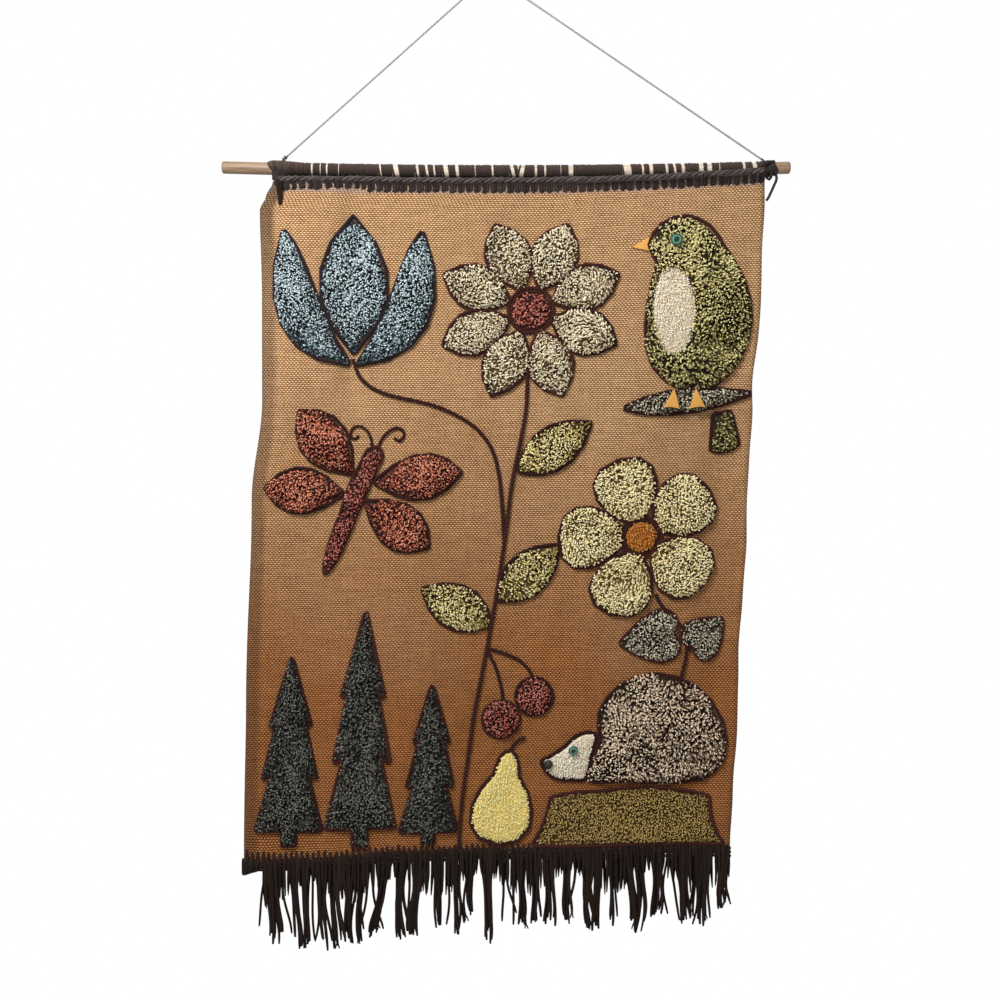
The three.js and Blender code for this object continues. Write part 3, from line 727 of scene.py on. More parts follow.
VIEW_WIDE = 1.22
VIEW_MIDDLE = (0.011, -0.637)
CAMERA_BACK = 2.05
SENSOR_WIDE = 36
CAMERA_LENS = SENSOR_WIDE * CAMERA_BACK / VIEW_WIDE
SURROUND = 0.28  # the strength at which the white surround lights the work


def set_camera():
    data = bpy.data.cameras.new("camera")
    data.lens = CAMERA_LENS
    data.clip_start, data.clip_end = 0.05, 50
    camera = bpy.data.objects.new("camera", data)
    camera.location = (VIEW_MIDDLE[0], -CAMERA_BACK, VIEW_MIDDLE[1])
    camera.rotation_euler = (math.radians(90), 0, 0)
    bpy.context.scene.collection.objects.link(camera)
    bpy.context.scene.camera = camera


def set_light():
    """A plain white surround, one soft lamp above, a broad weak one in front and another behind."""
    world = bpy.data.worlds.new("plain_surround")
    bpy.context.scene.world = world
    world.use_nodes = True
    tree = Tree(world.node_tree)
    back = world.node_tree.nodes["Background"]
    path = tree.make("ShaderNodeLightPath")
    seen = tree.out(path, "Is Camera Ray").over(tree.out(path, "Is Glossy Ray"))
    seen = seen.over(tree.out(path, "Is Transmission Ray"))
    world.node_tree.links.new((seen * (1 - SURROUND) + SURROUND).socket, back.inputs["Strength"])
    back.inputs["Color"].default_value = (1, 1, 1, 1)
    lamps = [
        ("key_lamp", (-0.75, -1.25, 0.55), (0.0, 0.0, -0.62), 0.42, 38.0),
        ("front_lamp", (0.5, -2.4, -0.35), (0.0, 0.0, -0.65), 1.6, 9.0),
        ("back_lamp", (0.6, 2.0, 0.2), (0.0, 0.0, -0.65), 1.2, 24.0),
    ]
    for name, place, aim, size, power in lamps:
        data = bpy.data.lights.new(name, "AREA")
        data.size = size
        data.energy = power
        lamp = bpy.data.objects.new(name, data)
        lamp.location = place
        lamp.rotation_euler = (Vector(aim) - Vector(place)).to_track_quat("-Z", "Y").to_euler()
        bpy.context.scene.collection.objects.link(lamp)


def lay_floor():
    """A white floor well below the panel, seen as plain white but for the shadow on it."""
    bpy.ops.mesh.primitive_plane_add(size=4.4, location=(0, 0, -2.1))
    floor = bpy.context.object
    floor.name = "floor"
    made = Finish("white_floor", 0.9)
    made.shader.inputs["Base Color"].default_value = (0.9, 0.9, 0.9, 1)
    seen = made.out(made.make("ShaderNodeLightPath"), "Is Camera Ray") * 0.5
    made.wear("Emission Color", made.joined(seen, seen, seen))
    made.shader.inputs["Emission Strength"].default_value = 1.0
    floor.data.materials.append(made.material)
    floor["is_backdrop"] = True


bpy.context.scene.view_settings.view_transform = "Standard"
set_camera()
set_light()
lay_floor()

# ---- cords ----

CORD_ROUTE = [
    (-250.9, 0, -219.6), (-217.5, 0, -189.7), (-167.9, 0, -145.2), (-117.5, 0, -100.1), (-67.1, 0, -54.9),
    (-35.8, 0, -26.84), (-20.5, 0, -13.2), (-11.5, 0, -5.6), (-5.0, 0, -1.6), (0.2, 0, 0),
    (5.6, 0, -1.35), (12.5, 0, -5.1), (24.0, 0, -12.5), (45.1, 0, -26.84), (100, 0, -64.3), (150, 0, -98.5),
    (200, 0, -132.6), (250, 0, -166.7), (300, 0, -200.9), (332.1, 0, -222.8),
]
TAIL_ROUTE = [
    (347.0, -4.4, -240.4), (347.6, -5, -245.4), (346.2, -5.2, -250.5), (343.8, -5, -255.6),
    (341.9, -4.8, -260.2), (340.0, -4.6, -264.4), (338.0, -4.2, -268.4), (335.8, -4, -271.8),
]
CORD_THICK = 2.5
TAIL_THICK = 3.6


def twisted(line, spread, pitch, plies, start=0.0):
    """The lines of plies that wind round a line, spread millimetres off it."""
    line = np.asarray(line, float)
    ahead = np.gradient(line, axis=0)
    ahead /= np.linalg.norm(ahead, axis=1)[:, None]
    side = np.cross(ahead, (0.0, 1.0, 0.0))
    side /= np.linalg.norm(side, axis=1)[:, None]
    up = np.cross(side, ahead)
    gone = np.concatenate([[0], np.cumsum(np.linalg.norm(np.diff(line, axis=0), axis=1))])
    for ply in range(plies):
        angle = gone / (pitch * MM) * TURN + ply * TURN / plies + start
        yield line + spread * MM * (side * np.cos(angle)[:, None] + up * np.sin(angle)[:, None])


def lay_cord(name, node, route, thick, plies, pitch, finish, slot):
    """A cord of real twisted plies that follows its route."""
    path = rounded(np.array(route) * MM, 1.0 * MM)
    skein = Skein(name, sides=6, rings_a_twist=4)
    ply_thick = thick * (0.82 if plies == 2 else 0.74)
    for line in twisted(spaced(path, pitch * MM / 9), (thick - ply_thick) / 2, pitch, plies):
        skein.lay(line, ply_thick, shade=2)
    piece = done(skein.spun(), finish, slot, node)
    length_of(path)


def tie_cord_ends():
    """The hanging cord's ends: a small knot above the wrapping at its left, a tucked end at its right."""
    skein = Skein("cord_ends", sides=6, rings_a_twist=3, seed=2)
    for (x, _, z), way in ((CORD_ROUTE[0], -1), (CORD_ROUTE[-1], 1)):
        lead = [(x - way * 2.4, 0, z + 2.0), (x, 0, z - 0.2),
                (x + way * 3.0, 0, z - 3.4), (x + way * 5.0, 0, z - 8.0)]
        skein.lay(rounded(np.array(lead) * MM, 1.6 * MM), 2.9)
    x, _, z = CORD_ROUTE[0]
    for out, reach in ((0.4, 1.7), (-1.7, 1.9)):
        angle = np.linspace(0, TURN, 9)[:-1]
        over = reach * np.cos(angle)
        ring = np.stack([x + out + over * 0.62, reach * np.sin(angle), z + out - over * 0.78], -1)
        skein.lay(ring * MM, 2.2, closed=True)
    # The knot and the cord's ends take a darker copy of the cord's grey: painted shade for the thick,
    # shadowed knot.
    finish = yarn_finish("grey_cord_knot", (0.035, 0.034, 0.033), (0.16, 0.158, 0.155), plies=2)
    return done(skein.spun(), finish, "hanging_cord")


lay_cord("hanging_cord", "hanger_cord", CORD_ROUTE, CORD_THICK, 2, 7.0, GREY_CORD, "hanging_cord")
lay_cord("loose_yarn_end", "knot_tail", TAIL_ROUTE, TAIL_THICK, 3, 9.0, DARK_YARN, "dark_yarn")
tie_cord_ends()

# ---- rod ----

ROD_SIDES = 40
ROD_EASED = 2.6
ROD_CUTS = 24  # the stretches that the rod is cut into, so that it can bow


def turn_rod():
    """The birch rod: a cylinder with eased ends that sags a little under the panel."""
    middle = (ROD_LEFT + ROD_RIGHT) / 2
    bpy.ops.mesh.primitive_cylinder_add(vertices=ROD_SIDES, radius=ROD_THICK / 2 * MM,
                                        depth=(ROD_RIGHT - ROD_LEFT) * MM,
                                        location=(middle * MM, 0, 0),
                                        rotation=(0, math.radians(90), 0))
    rod = bpy.context.object
    rod.name = "birch_rod"
    only(rod)
    bpy.ops.object.transform_apply(location=True, rotation=True)
    editing(rod)
    bpy.ops.mesh.select_mode(type="EDGE")
    mesh = bmesh.from_edit_mesh(rod.data)
    for edge in mesh.edges:
        along = edge.verts[0].co - edge.verts[1].co
        edge.select_set(abs(along.x) < MM)
    bmesh.update_edit_mesh(rod.data)
    bpy.ops.mesh.bevel(offset=ROD_EASED * MM, segments=4)
    edited()
    editing(rod)
    for cut in range(1, ROD_CUTS):
        x = (ROD_LEFT + (ROD_RIGHT - ROD_LEFT) * cut / ROD_CUTS) * MM
        bpy.ops.mesh.select_all(action="SELECT")
        bpy.ops.mesh.bisect(plane_co=(x, 0, 0), plane_no=(1, 0, 0))
    edited()
    points = points_of(rod)
    x = points[:, 0] / MM
    points[:, 2] += (rod_axis(x) + 0.25 * np.sin(x / 61)) * MM
    put_points(rod, points)
    done(rod, birch_finish(), "birch", "dowel", smooth_angle=50)


turn_rod()

# ---- wrapping, chain and knot ----

WRAP_YARN_THICK = 2.5
WRAP_REACH = ROD_THICK / 2 + 0.1
WRAP_CLOSE = (0.80, 0.91)  # the step from turn to turn, against the yarn's thickness
WRAP_STEPS = 14
LOOP_STEPS = 16

# Gaps where the rod shows between the turns: their place, their width and how far they slant.
GAPS = [
    (-218, 2.2, 0), (-208.5, 1.3, 0), (-200.5, 2.0, 0), (-186, 0.8, 0), (-134, 2.0, 3),
    (-115, 6.0, 4), (-90, 3.2, 3), (-78.5, 3.0, 3), (-69, 2.2, 2), (-55, 5.5, 3),
    (-41.5, 4.2, 2), (-20, 1.0, 1), (1, 2.6, 1), (27, 4.5, 4), (37, 5.5, -4), (55.5, 3.0, 0),
    (65.5, 2.6, 0), (85, 1.2, 0), (96.5, 6.0, 0), (166, 9.0, 3), (184.5, 2.6, 1),
    (194, 4.6, 1), (214, 3.4, 1), (224.5, 3.2, 2), (234.5, 4.4, 1), (255.5, 5.6, 0),
    (266.5, 6.0, 0), (277.5, 1.2, 0), (308, 3.6, 1), (320, 5.4, 2),
]


def wrap_rod():
    """Yarn wound turn by turn, crossing to the next turn behind the rod."""
    chance = random.Random(11)
    skein = Skein("rod_wrapping", sides=6, rings_a_twist=2, seed=3)
    x = WRAP_LEFT + 5
    gaps = list(GAPS)
    line = []
    slant = 0.0
    while x < WRAP_RIGHT - 1:
        gain = WRAP_YARN_THICK * chance.uniform(*WRAP_CLOSE)
        if gaps and x + gain > gaps[0][0] - gaps[0][1] / 2:
            gain += gaps[0][1]
            slant = gaps[0][2]
            gaps.pop(0)
        slant *= 0.8
        lift = chance.uniform(-0.25, 0.35)
        for step in range(WRAP_STEPS):
            angle = TURN * step / WRAP_STEPS
            behind = smooth(0.5, 1.0, step / WRAP_STEPS)
            lean = -slant * math.cos(angle) * 0.6 * (1 - behind)
            at = x + gain * behind + lean + chance.uniform(-0.08, 0.08)
            reach = WRAP_REACH + lift + chance.uniform(-0.1, 0.1)
            y = -reach * math.sin(angle)
            line.append((at, y, rod_axis(at) + reach * math.cos(angle)))
        x += gain
    skein.lay(np.array(line) * MM, WRAP_YARN_THICK)
    fat_start(skein, chance)
    done(skein.spun(), WRAP_YARN, "dark_yarn", "rod_wrap")


def loop_round(x, reach, drop, lean, sway=0.0):
    """A loop over the rod that hangs drop below its axis, leaning as it goes down."""
    line = []
    for step in range(LOOP_STEPS):
        angle = TURN * step / LOOP_STEPS
        up = math.cos(angle)
        low = max(0.0, -up)
        z = reach * up if up > 0 else -drop * low ** 0.8
        depth = reach * math.sin(angle) * (1 - 0.45 * low)
        line.append((x + lean * (1 - up) / 2 + sway * math.sin(angle), -depth, rod_axis(x) + z))
    return rounded(np.array(line) * MM, 2.4 * MM, closed=True)


def fat_start(skein, chance):
    """A second layer of turns that rounds the wrapping's start and leans to the panel's corner."""
    rises = (-0.9, 0.6, 1.5, 1.9, 2.0, 2.0, 1.9, 1.8, 1.7, 1.55, 1.4, 1.3, 1.15, 1.0, 0.8, 0.6, 0.4)
    for turn, rise in enumerate(rises):
        x = WRAP_LEFT - 3.2 + turn * 2.45
        reach = WRAP_REACH + rise
        line = loop_round(x, reach, reach + 0.4, max(0.0, 8.0 - turn * 0.9) + chance.uniform(-0.4, 1.2))
        skein.lay(line, 2.7, closed=True)


def lash_corner():
    """Loops that tie the panel's left corner up to the rod, and the stitch that holds its curled edge."""
    chance = random.Random(5)
    skein = Skein("corner_lashing", sides=6, seed=8)
    for turn, drop in enumerate((12.6, 18.0, 20.4, 20.2, 19.0, 17.8, 16.8, 15.8, 15.0)):
        x = WRAP_LEFT + 3.0 + turn * 1.9
        reach = WRAP_REACH + 0.7 + chance.uniform(-0.2, 0.3)
        line = loop_round(x, reach, drop, 1.2 + chance.uniform(-0.6, 0.6), 0.8)
        skein.lay(line, 2.8, closed=True)
    done(skein.spun(), DARK_YARN, "dark_yarn")
    stitch = Skein("edge_stitch", sides=6, seed=9)
    for strand in range(3):
        route = [(-260.2 + strand * 2.5, -6.0, -246), (-259.8 + strand * 2.3, -6.0, -254),
                 (-259.0 + strand * 1.9, -4.6, -264), (-257.8 + strand * 1.3, -2.6, -273),
                 (-256.6 + strand * 0.5, 0.6, -280)]
        stitch.lay(rounded(np.array(route) * MM, 2.4 * MM), 2.8)
    done(stitch.spun(), FRINGE_YARN, "dark_yarn")


def plait_chain():
    """Three yarns loosely twisted over a straight one: the line that the panel hangs from."""
    skein = Skein("top_chain", sides=8, rings_a_twist=3, seed=5)
    xs = np.arange(-259.0, 333.0, 2.0)
    drop = CHAIN_BELOW - 0.85 * head_rise(xs + 266)
    wander = 0.4 * np.sin(xs / 37) + 0.3 * np.sin(xs / 13 + 1)
    y = -np.sqrt(np.maximum(30, 165 - drop * drop))
    middle = np.stack([xs, y + 0.4 * np.sin(xs / 29), rod_axis(xs) - drop + wander], -1) * MM
    for line in twisted(middle, 1.9, 25.0, 3, 0.6):
        skein.lay(line, 3.0 + 0.3 * np.sin(xs / 7))
    skein.lay(middle + np.array((0, 1.6, -2.4)) * MM, 3.6)
    done(skein.spun(), CHAIN_YARN, "dark_yarn", "top_binding")


def tie_knot():
    """Turns of the lacing yarn round the rod's right end, with one bight that hangs."""
    chance = random.Random(31)
    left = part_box("rod_knot")[0].x / MM
    skein = Skein("rod_knot_turns", sides=8, rings_a_twist=3, seed=4)
    for turn in range(6):
        x = left - 0.6 + turn * 2.6
        reach = WRAP_REACH + (0.9 if turn in (2, 3) else 0.5)
        drop = reach + (3.0 if turn == 2 else 1.2 if turn == 3 else 0.4)
        line = loop_round(x, reach, drop, chance.uniform(-1.2, 1.2), chance.uniform(-0.9, 0.9))
        skein.lay(line, 3.1, closed=True)
    over = [(left - 9, -10.2, -236.5), (left - 5, -11.6, -232.5), (left, -11.6, -229.2),
            (left + 6, -9.8, -226.8), (left + 10.6, -5.6, -224.9), (left + 12.8, 0, -224.1),
            (left + 13.4, 6, -225.8), (left + 12.4, 10, -231)]
    skein.lay(rounded(np.array(over) * MM, 2.6 * MM), 3.2)
    bight = [(left + 2, -4, -241), (left + 1.5, -8.5, -240.5), (left + 3, -10.4, -237),
             (left + 6.5, -10.6, -236), (left + 8.5, -9.4, -239.5), (left + 8, -7, -244),
             (left + 6, -5, -247), (left + 3.5, -4, -245)]
    skein.lay(rounded(np.array(bight) * MM, 2.6 * MM, closed=True), 3.4, closed=True)
    root = [(left + 13.2, -8.4, -232), (left + 14.7, -7.6, -236), TAIL_ROUTE[0]]
    skein.lay(rounded(np.array(root) * MM, 2.2 * MM), 3.3)
    done(skein.spun(), DARK_YARN, "dark_yarn", "rod_knot")


wrap_rod()
lash_corner()
plait_chain()
tie_knot()

# ---- cloth ----


def weave_cloth():
    """The hessian: a flat grid hung on its folds, puckered a little, then given its thickness."""
    across_steps, down_steps = 108, 148
    bpy.ops.mesh.primitive_grid_add(x_subdivisions=across_steps, y_subdivisions=down_steps, size=1)
    cloth = bpy.context.object
    cloth.name = "hessian_panel"
    cloth.data.uv_layers[0].name = "OFBake"
    points = points_of(cloth)
    across = (points[:, 0] + 0.5) * CLOTH_WIDE
    down = CLOTH_HEAD + (0.5 - points[:, 1]) * (CLOTH_LONG - CLOTH_HEAD)
    hung = hang(across, down + hem_dip(across) * smooth(770, CLOTH_LONG, down))
    pucker = 0.5 * np.sin(across / 23 + 1.5 * np.sin(down / 90)) * np.sin(down / 41)
    pucker += 0.35 * np.sin(across / 9.5 + down / 31) * smooth(0, 60, down)
    hung[:, 1] += pucker * MM
    right = smooth(CLOTH_WIDE - 6, CLOTH_WIDE, across)
    hung[:, 0] += right * 0.8 * np.sin(down / 17) * np.sin(down / 53) * MM
    put_points(cloth, hung)
    editing(cloth)
    bpy.ops.mesh.normals_make_consistent(inside=False)
    edited()
    thick = cloth.modifiers.new("thickness", "SOLIDIFY")
    thick.thickness = CLOTH_THICK * MM
    thick.offset = 0
    apply_all(cloth)
    only(cloth)
    bpy.ops.object.shade_smooth()
    return done(cloth, hessian_finish(), "hessian", "ground_cloth")


CLOTH = weave_cloth()


def panel_line(route, lift, step):
    """An even line through places on the flat panel, hung with it."""
    flat = rounded(np.array([(a, d, 0.0) for a, d in route]), step)
    return hang(flat[:, 0], flat[:, 1], lift)


def lobe(skein, chance, across, head, foot, strands, spread, thick, slant, narrow=1.0):
    """One blanket stitch that hangs straight down the panel: strands side by side, front and back."""
    left, width = edges_at(np.array([head, foot], float))
    x = left[0] + width[0] * across / CLOTH_WIDE
    for number in range(strands):
        out = number - (strands - 1) / 2
        reach = 1.5 * (abs(out) - 0.4) * (1 if foot > head else -1)
        end = foot - reach + chance.uniform(-0.4, 0.4)
        ease = 2.4 if foot > head else -2.4
        places = [(x + out * spread * share - left[k]) / width[k] * CLOTH_WIDE
                  for k, share in enumerate((1.0, narrow))]
        start, stop = places[0], places[1] + slant
        front = hang([stop, stop, (start + stop) / 2, start],
                     [end, end - ease, (head + end) / 2, head], [0.0, 2.1, 2.7, 3.0])
        crest = hang([start], [head - ease * 0.9], [0.4])
        back = hang([start, stop, stop], [head, end - ease, end], [-2.6, -2.0, -0.2])
        skein.lay(rounded(np.vstack([front, crest, back]), 2.5 * MM), thick)


def stitch_head():
    """Blanket stitches over the panel's head, three strands to each, uneven at its left."""
    chance = random.Random(41)
    skein = Skein("head_stitches", sides=6, seed=6)
    across = 14.0
    while across < CLOTH_WIDE - 4:
        loose = across < 118
        reach = chance.uniform(8.0, 14.0) if loose else 11.6 + chance.uniform(-0.8, 0.8)
        strands = chance.choice((2, 3, 3, 4)) if loose else 3
        lobe(skein, chance, across, -2.0, reach, strands, 2.7, 3.0, chance.uniform(-0.7, 0.7))
        gap = chance.uniform(1.2, 4.6) if loose else chance.uniform(1.2, 2.2)
        across += (strands * 2.7 / 2 + 4.0 if loose else 8.2) + gap
    return done(skein.spun(), DARK_YARN, "dark_yarn")


def stitch_hem():
    """Blanket stitches that point up from the fringe's heading, two strands to each."""
    chance = random.Random(43)
    skein = Skein("hem_stitches", sides=6, seed=7)
    across = 3.5
    while across < CLOTH_WIDE - 2:
        high = 809.5 + float(hem_dip(across, 6.5)) + chance.uniform(-1.5, 1.5)
        root = 819.5 + float(hem_dip(across))
        lobe(skein, chance, across, root, high, 2, 2.9, 2.7, chance.uniform(-0.6, 0.6), narrow=0.3)
        across += chance.uniform(6.6, 7.4)
    return done(skein.spun(), HEM_YARN, "dark_yarn")


HEAD_STITCHES = stitch_head()
HEM_STITCHES = stitch_hem()

# ---- fringe ----

# Bunches of strands: where each leaves the heading, where its foot hangs, and how long it is.
BUNCHES = [
    (25, 45, 36, 48, 108), (54, 84, 66, 80, 116), (88, 125, 93, 122, 117),
    (126.5, 154, 128, 146, 110), (166, 186, 157, 168, 102), (188, 204, 190, 199, 107),
    (207, 230, 205, 216, 104), (233, 249, 237, 247, 96), (256, 271, 262, 271, 104),
    (272.5, 289, 275, 284, 84), (290.5, 312, 299, 308, 114), (333, 350, 341, 350, 97),
    (353, 367, 358, 366, 95), (370, 387, 371, 386, 96), (392, 405, 394, 404, 92),
    (412, 446, 423, 443, 100), (448, 458, 453, 463, 100), (461, 496, 478, 496, 104),
    (501, 519, 504, 516, 90), (530, 551, 539, 549, 98), (553, 578, 554, 572, 98),
    (583, 600, 583, 594, 78),
]
STRAND_THICK = 3.5
STRANDS_APART = 2.35
SPLIT_SHARE = 0.05
KICKED_SHARE = 0.12
SHORT_STRANDS = 200


def droop(across):
    """How far the heading rolls down at the panel's left corner."""
    return 5.5 * np.clip(1 - np.asarray(across, float) / 24, 0, 1) ** 1.5


def fringe_strand(skein, chance, start, foot, long, depth, thick, waist, swing, kick):
    """One strand. It is drawn to its bunch's waist, swings with it, and some split at their foot."""
    own, phase, shared = chance.uniform(0.6, 1.7), chance.uniform(0, TURN), swing[0]
    route = []
    for share in (0, 0.1, 0.22, 0.36, 0.5, 0.64, 0.78, 0.9, 1.0):
        across = start + (foot - start) * share * share * (3 - 2 * share)
        if waist is not None:
            across += (waist - across) * 0.34 * math.sin(math.pi * min(1, share * 1.05)) ** 1.6
        across += shared * math.sin(share * 4.6 + swing[1]) * share
        across += own * math.sin(share * 6.5 + phase) * share
        across += kick * max(0.0, share - 0.66) ** 1.5 * 5
        lift = depth * (1 - 0.35 * share) + math.sin(share * 7 + phase) * 0.9 * share
        dip = droop(start) * 0.7 + hem_dip(start) * (1 - 0.8 * share)
        route.append((across, 816.5 + dip + long * share, lift))
    flat = rounded(np.array(route, float), 5.6)
    taper = np.interp(np.linspace(0, 1, len(flat)), [0, 0.1, 0.85, 1], [0.9, 1.05, 0.98, 0.86])
    line = hang(flat[:, 0], flat[:, 1], flat[:, 2])
    skein.lay(line, thick * taper)
    if chance.random() < SPLIT_SHARE:
        down = line[-1] - line[-2]
        down *= chance.uniform(4.0, 7.0) * MM / np.linalg.norm(down)
        for side in (-1, 1):
            apart = np.array((side * chance.uniform(0.8, 1.8), chance.uniform(-0.8, 0.8), 0)) * MM
            skein.lay(np.stack([line[-2], line[-1] + apart * 0.3, line[-1] + down * 0.55 + apart,
                                line[-1] + down + apart * 1.3]), 1.9)


def hang_fringe():
    """Bunches of strands, single strands between them, and short ones that close the fringe's head."""
    chance = random.Random(61)
    skein = Skein("fringe_strands", sides=6, rings_a_twist=2, seed=9)
    for left, right, foot_left, foot_right, long in BUNCHES:
        count = max(3, round((right - left) / STRANDS_APART))
        swing = (chance.uniform(-4.0, 4.0), chance.uniform(0, TURN))
        waists = [left + (right - left) * part for part in ((0.25, 0.75) if right - left > 24 else (0.5,))]
        for number in range(count):
            share = (number + 0.5) / count
            start = left + (right - left) * share + chance.uniform(-0.9, 0.9)
            foot = foot_left + (foot_right - foot_left) * share + chance.uniform(-4.0, 4.0)
            reach = long * chance.uniform(0.86, 1.02) - abs(share - 0.5) * 9
            depth = chance.choice((-3.0, 0.4, 3.6)) + chance.uniform(-0.6, 0.6)
            waist = min(waists, key=lambda at: abs(at - start)) + (foot - start) * 0.4
            kick = chance.uniform(-8, 8) if chance.random() < KICKED_SHARE else 0.0
            thick = STRAND_THICK * chance.uniform(0.86, 1.2)
            fringe_strand(skein, chance, start, foot, reach, depth, thick, waist, swing, kick)
    strays = [
        (27, 21, 86, -3), (31, 30, 98, 0), (49, 52, 96, 3), (86, 86, 103, 2), (157, 149, 88, -4),
        (161, 165, 92, 3), (318, 322, 88, 0), (325, 329, 78, 5), (409, 405, 84, -3), (331, 334, 92, 0),
        (523, 520, 82, 0), (526, 534, 90, 4), (598, 597, 70, 3), (251, 255, 90, -2), (206, 203, 96, 0),
    ]
    for start, foot, long, kick in strays:
        swing = (chance.uniform(-5.0, 5.0), chance.uniform(0, TURN))
        fringe_strand(skein, chance, start, foot, long, 0.5, 3.2, None, swing, kick)
    for number in range(SHORT_STRANDS):
        start = 24 + (CLOTH_WIDE - 25) * (number + chance.random()) / SHORT_STRANDS
        long = 42 + 13 * math.sin(start / 17.0) + chance.uniform(-4, 4)
        head = 816.0 + float(hem_dip(start))
        route = [(start, head), (start + chance.uniform(-0.8, 0.8), head + long * 0.5),
                 (start + chance.uniform(-1.6, 1.6), head + long)]
        line = panel_line(route, 3.4 if number % 2 else -2.6, 5.6)
        skein.lay(line, 3.9 * np.interp(np.linspace(0, 1, len(line)), [0, 0.6, 1], [0.95, 1.0, 0.45]))
    bight = [(588, 820), (586, 850), (584, 874), (586.5, 886), (591, 888), (594, 878), (595, 850), (596, 822)]
    skein.lay(panel_line(bight, 1.5, 5.6), 3.0)
    return done(skein.spun(), FRINGE_YARN, "dark_yarn", "fringe")


def crochet_heading():
    """The thick rows of yarn along the hem that the strands hang from."""
    skein = Skein("fringe_heading", sides=6, rings_a_twist=3, seed=10)
    across = np.arange(-1.0, CLOTH_WIDE + 1.5, 3.0)
    rows = [(819.0, 1.6), (823.0, 1.4), (827.0, 0.8), (819.5, -1.8), (824.0, -1.8), (822.5, 0.0)]
    for row, (down, lift) in enumerate(rows):
        sag = droop(across) + hem_dip(across) + 0.8 * np.sin(across / 11 + row * 2)
        off = lift + 0.4 * np.sin(across / 6.0 + row)
        skein.lay(hang(across, down + sag, off), 4.4 + 0.4 * np.sin(across / 5 + row))
    for turn in range(9):
        at = turn * 2.3 - 1.5
        high = 817 + float(hem_dip(at))
        low = high + 10 + float(droop(at)) * 1.25
        ring = [(at, high, 2.6), (at + 0.3, low - 5, 4.2), (at + 0.5, low, 1.0), (at, low, -2.2),
                (at, low - 6, -4.0), (at, high, -3.0), (at, high - 1.5, 0.0)]
        flat = rounded(np.array(ring, float), 3.0, closed=True)
        skein.lay(hang(flat[:, 0], flat[:, 1], flat[:, 2]), 3.0, closed=True)
    return done(skein.spun(), FRINGE_YARN, "dark_yarn")


FRINGE = hang_fringe()
HEADING = crochet_heading()

# ---- cut pile ----


def model_tuft(name, long, wide, bend):
    """One cut yarn end on the axis: it widens to a blunt tip, and bends over a little."""
    rings = [(wide * 0.40, 0.0, 0.0), (wide * 0.54, long * 0.84, 0.84), (wide * 0.3, long, 1.0)]
    tuft = turned(name, rings, 3)
    points = points_of(tuft)
    points[:, 0] += bend * MM * (points[:, 2] / (long * MM)) ** 2
    put_points(tuft, points)
    tuft.hide_render = True
    return tuft


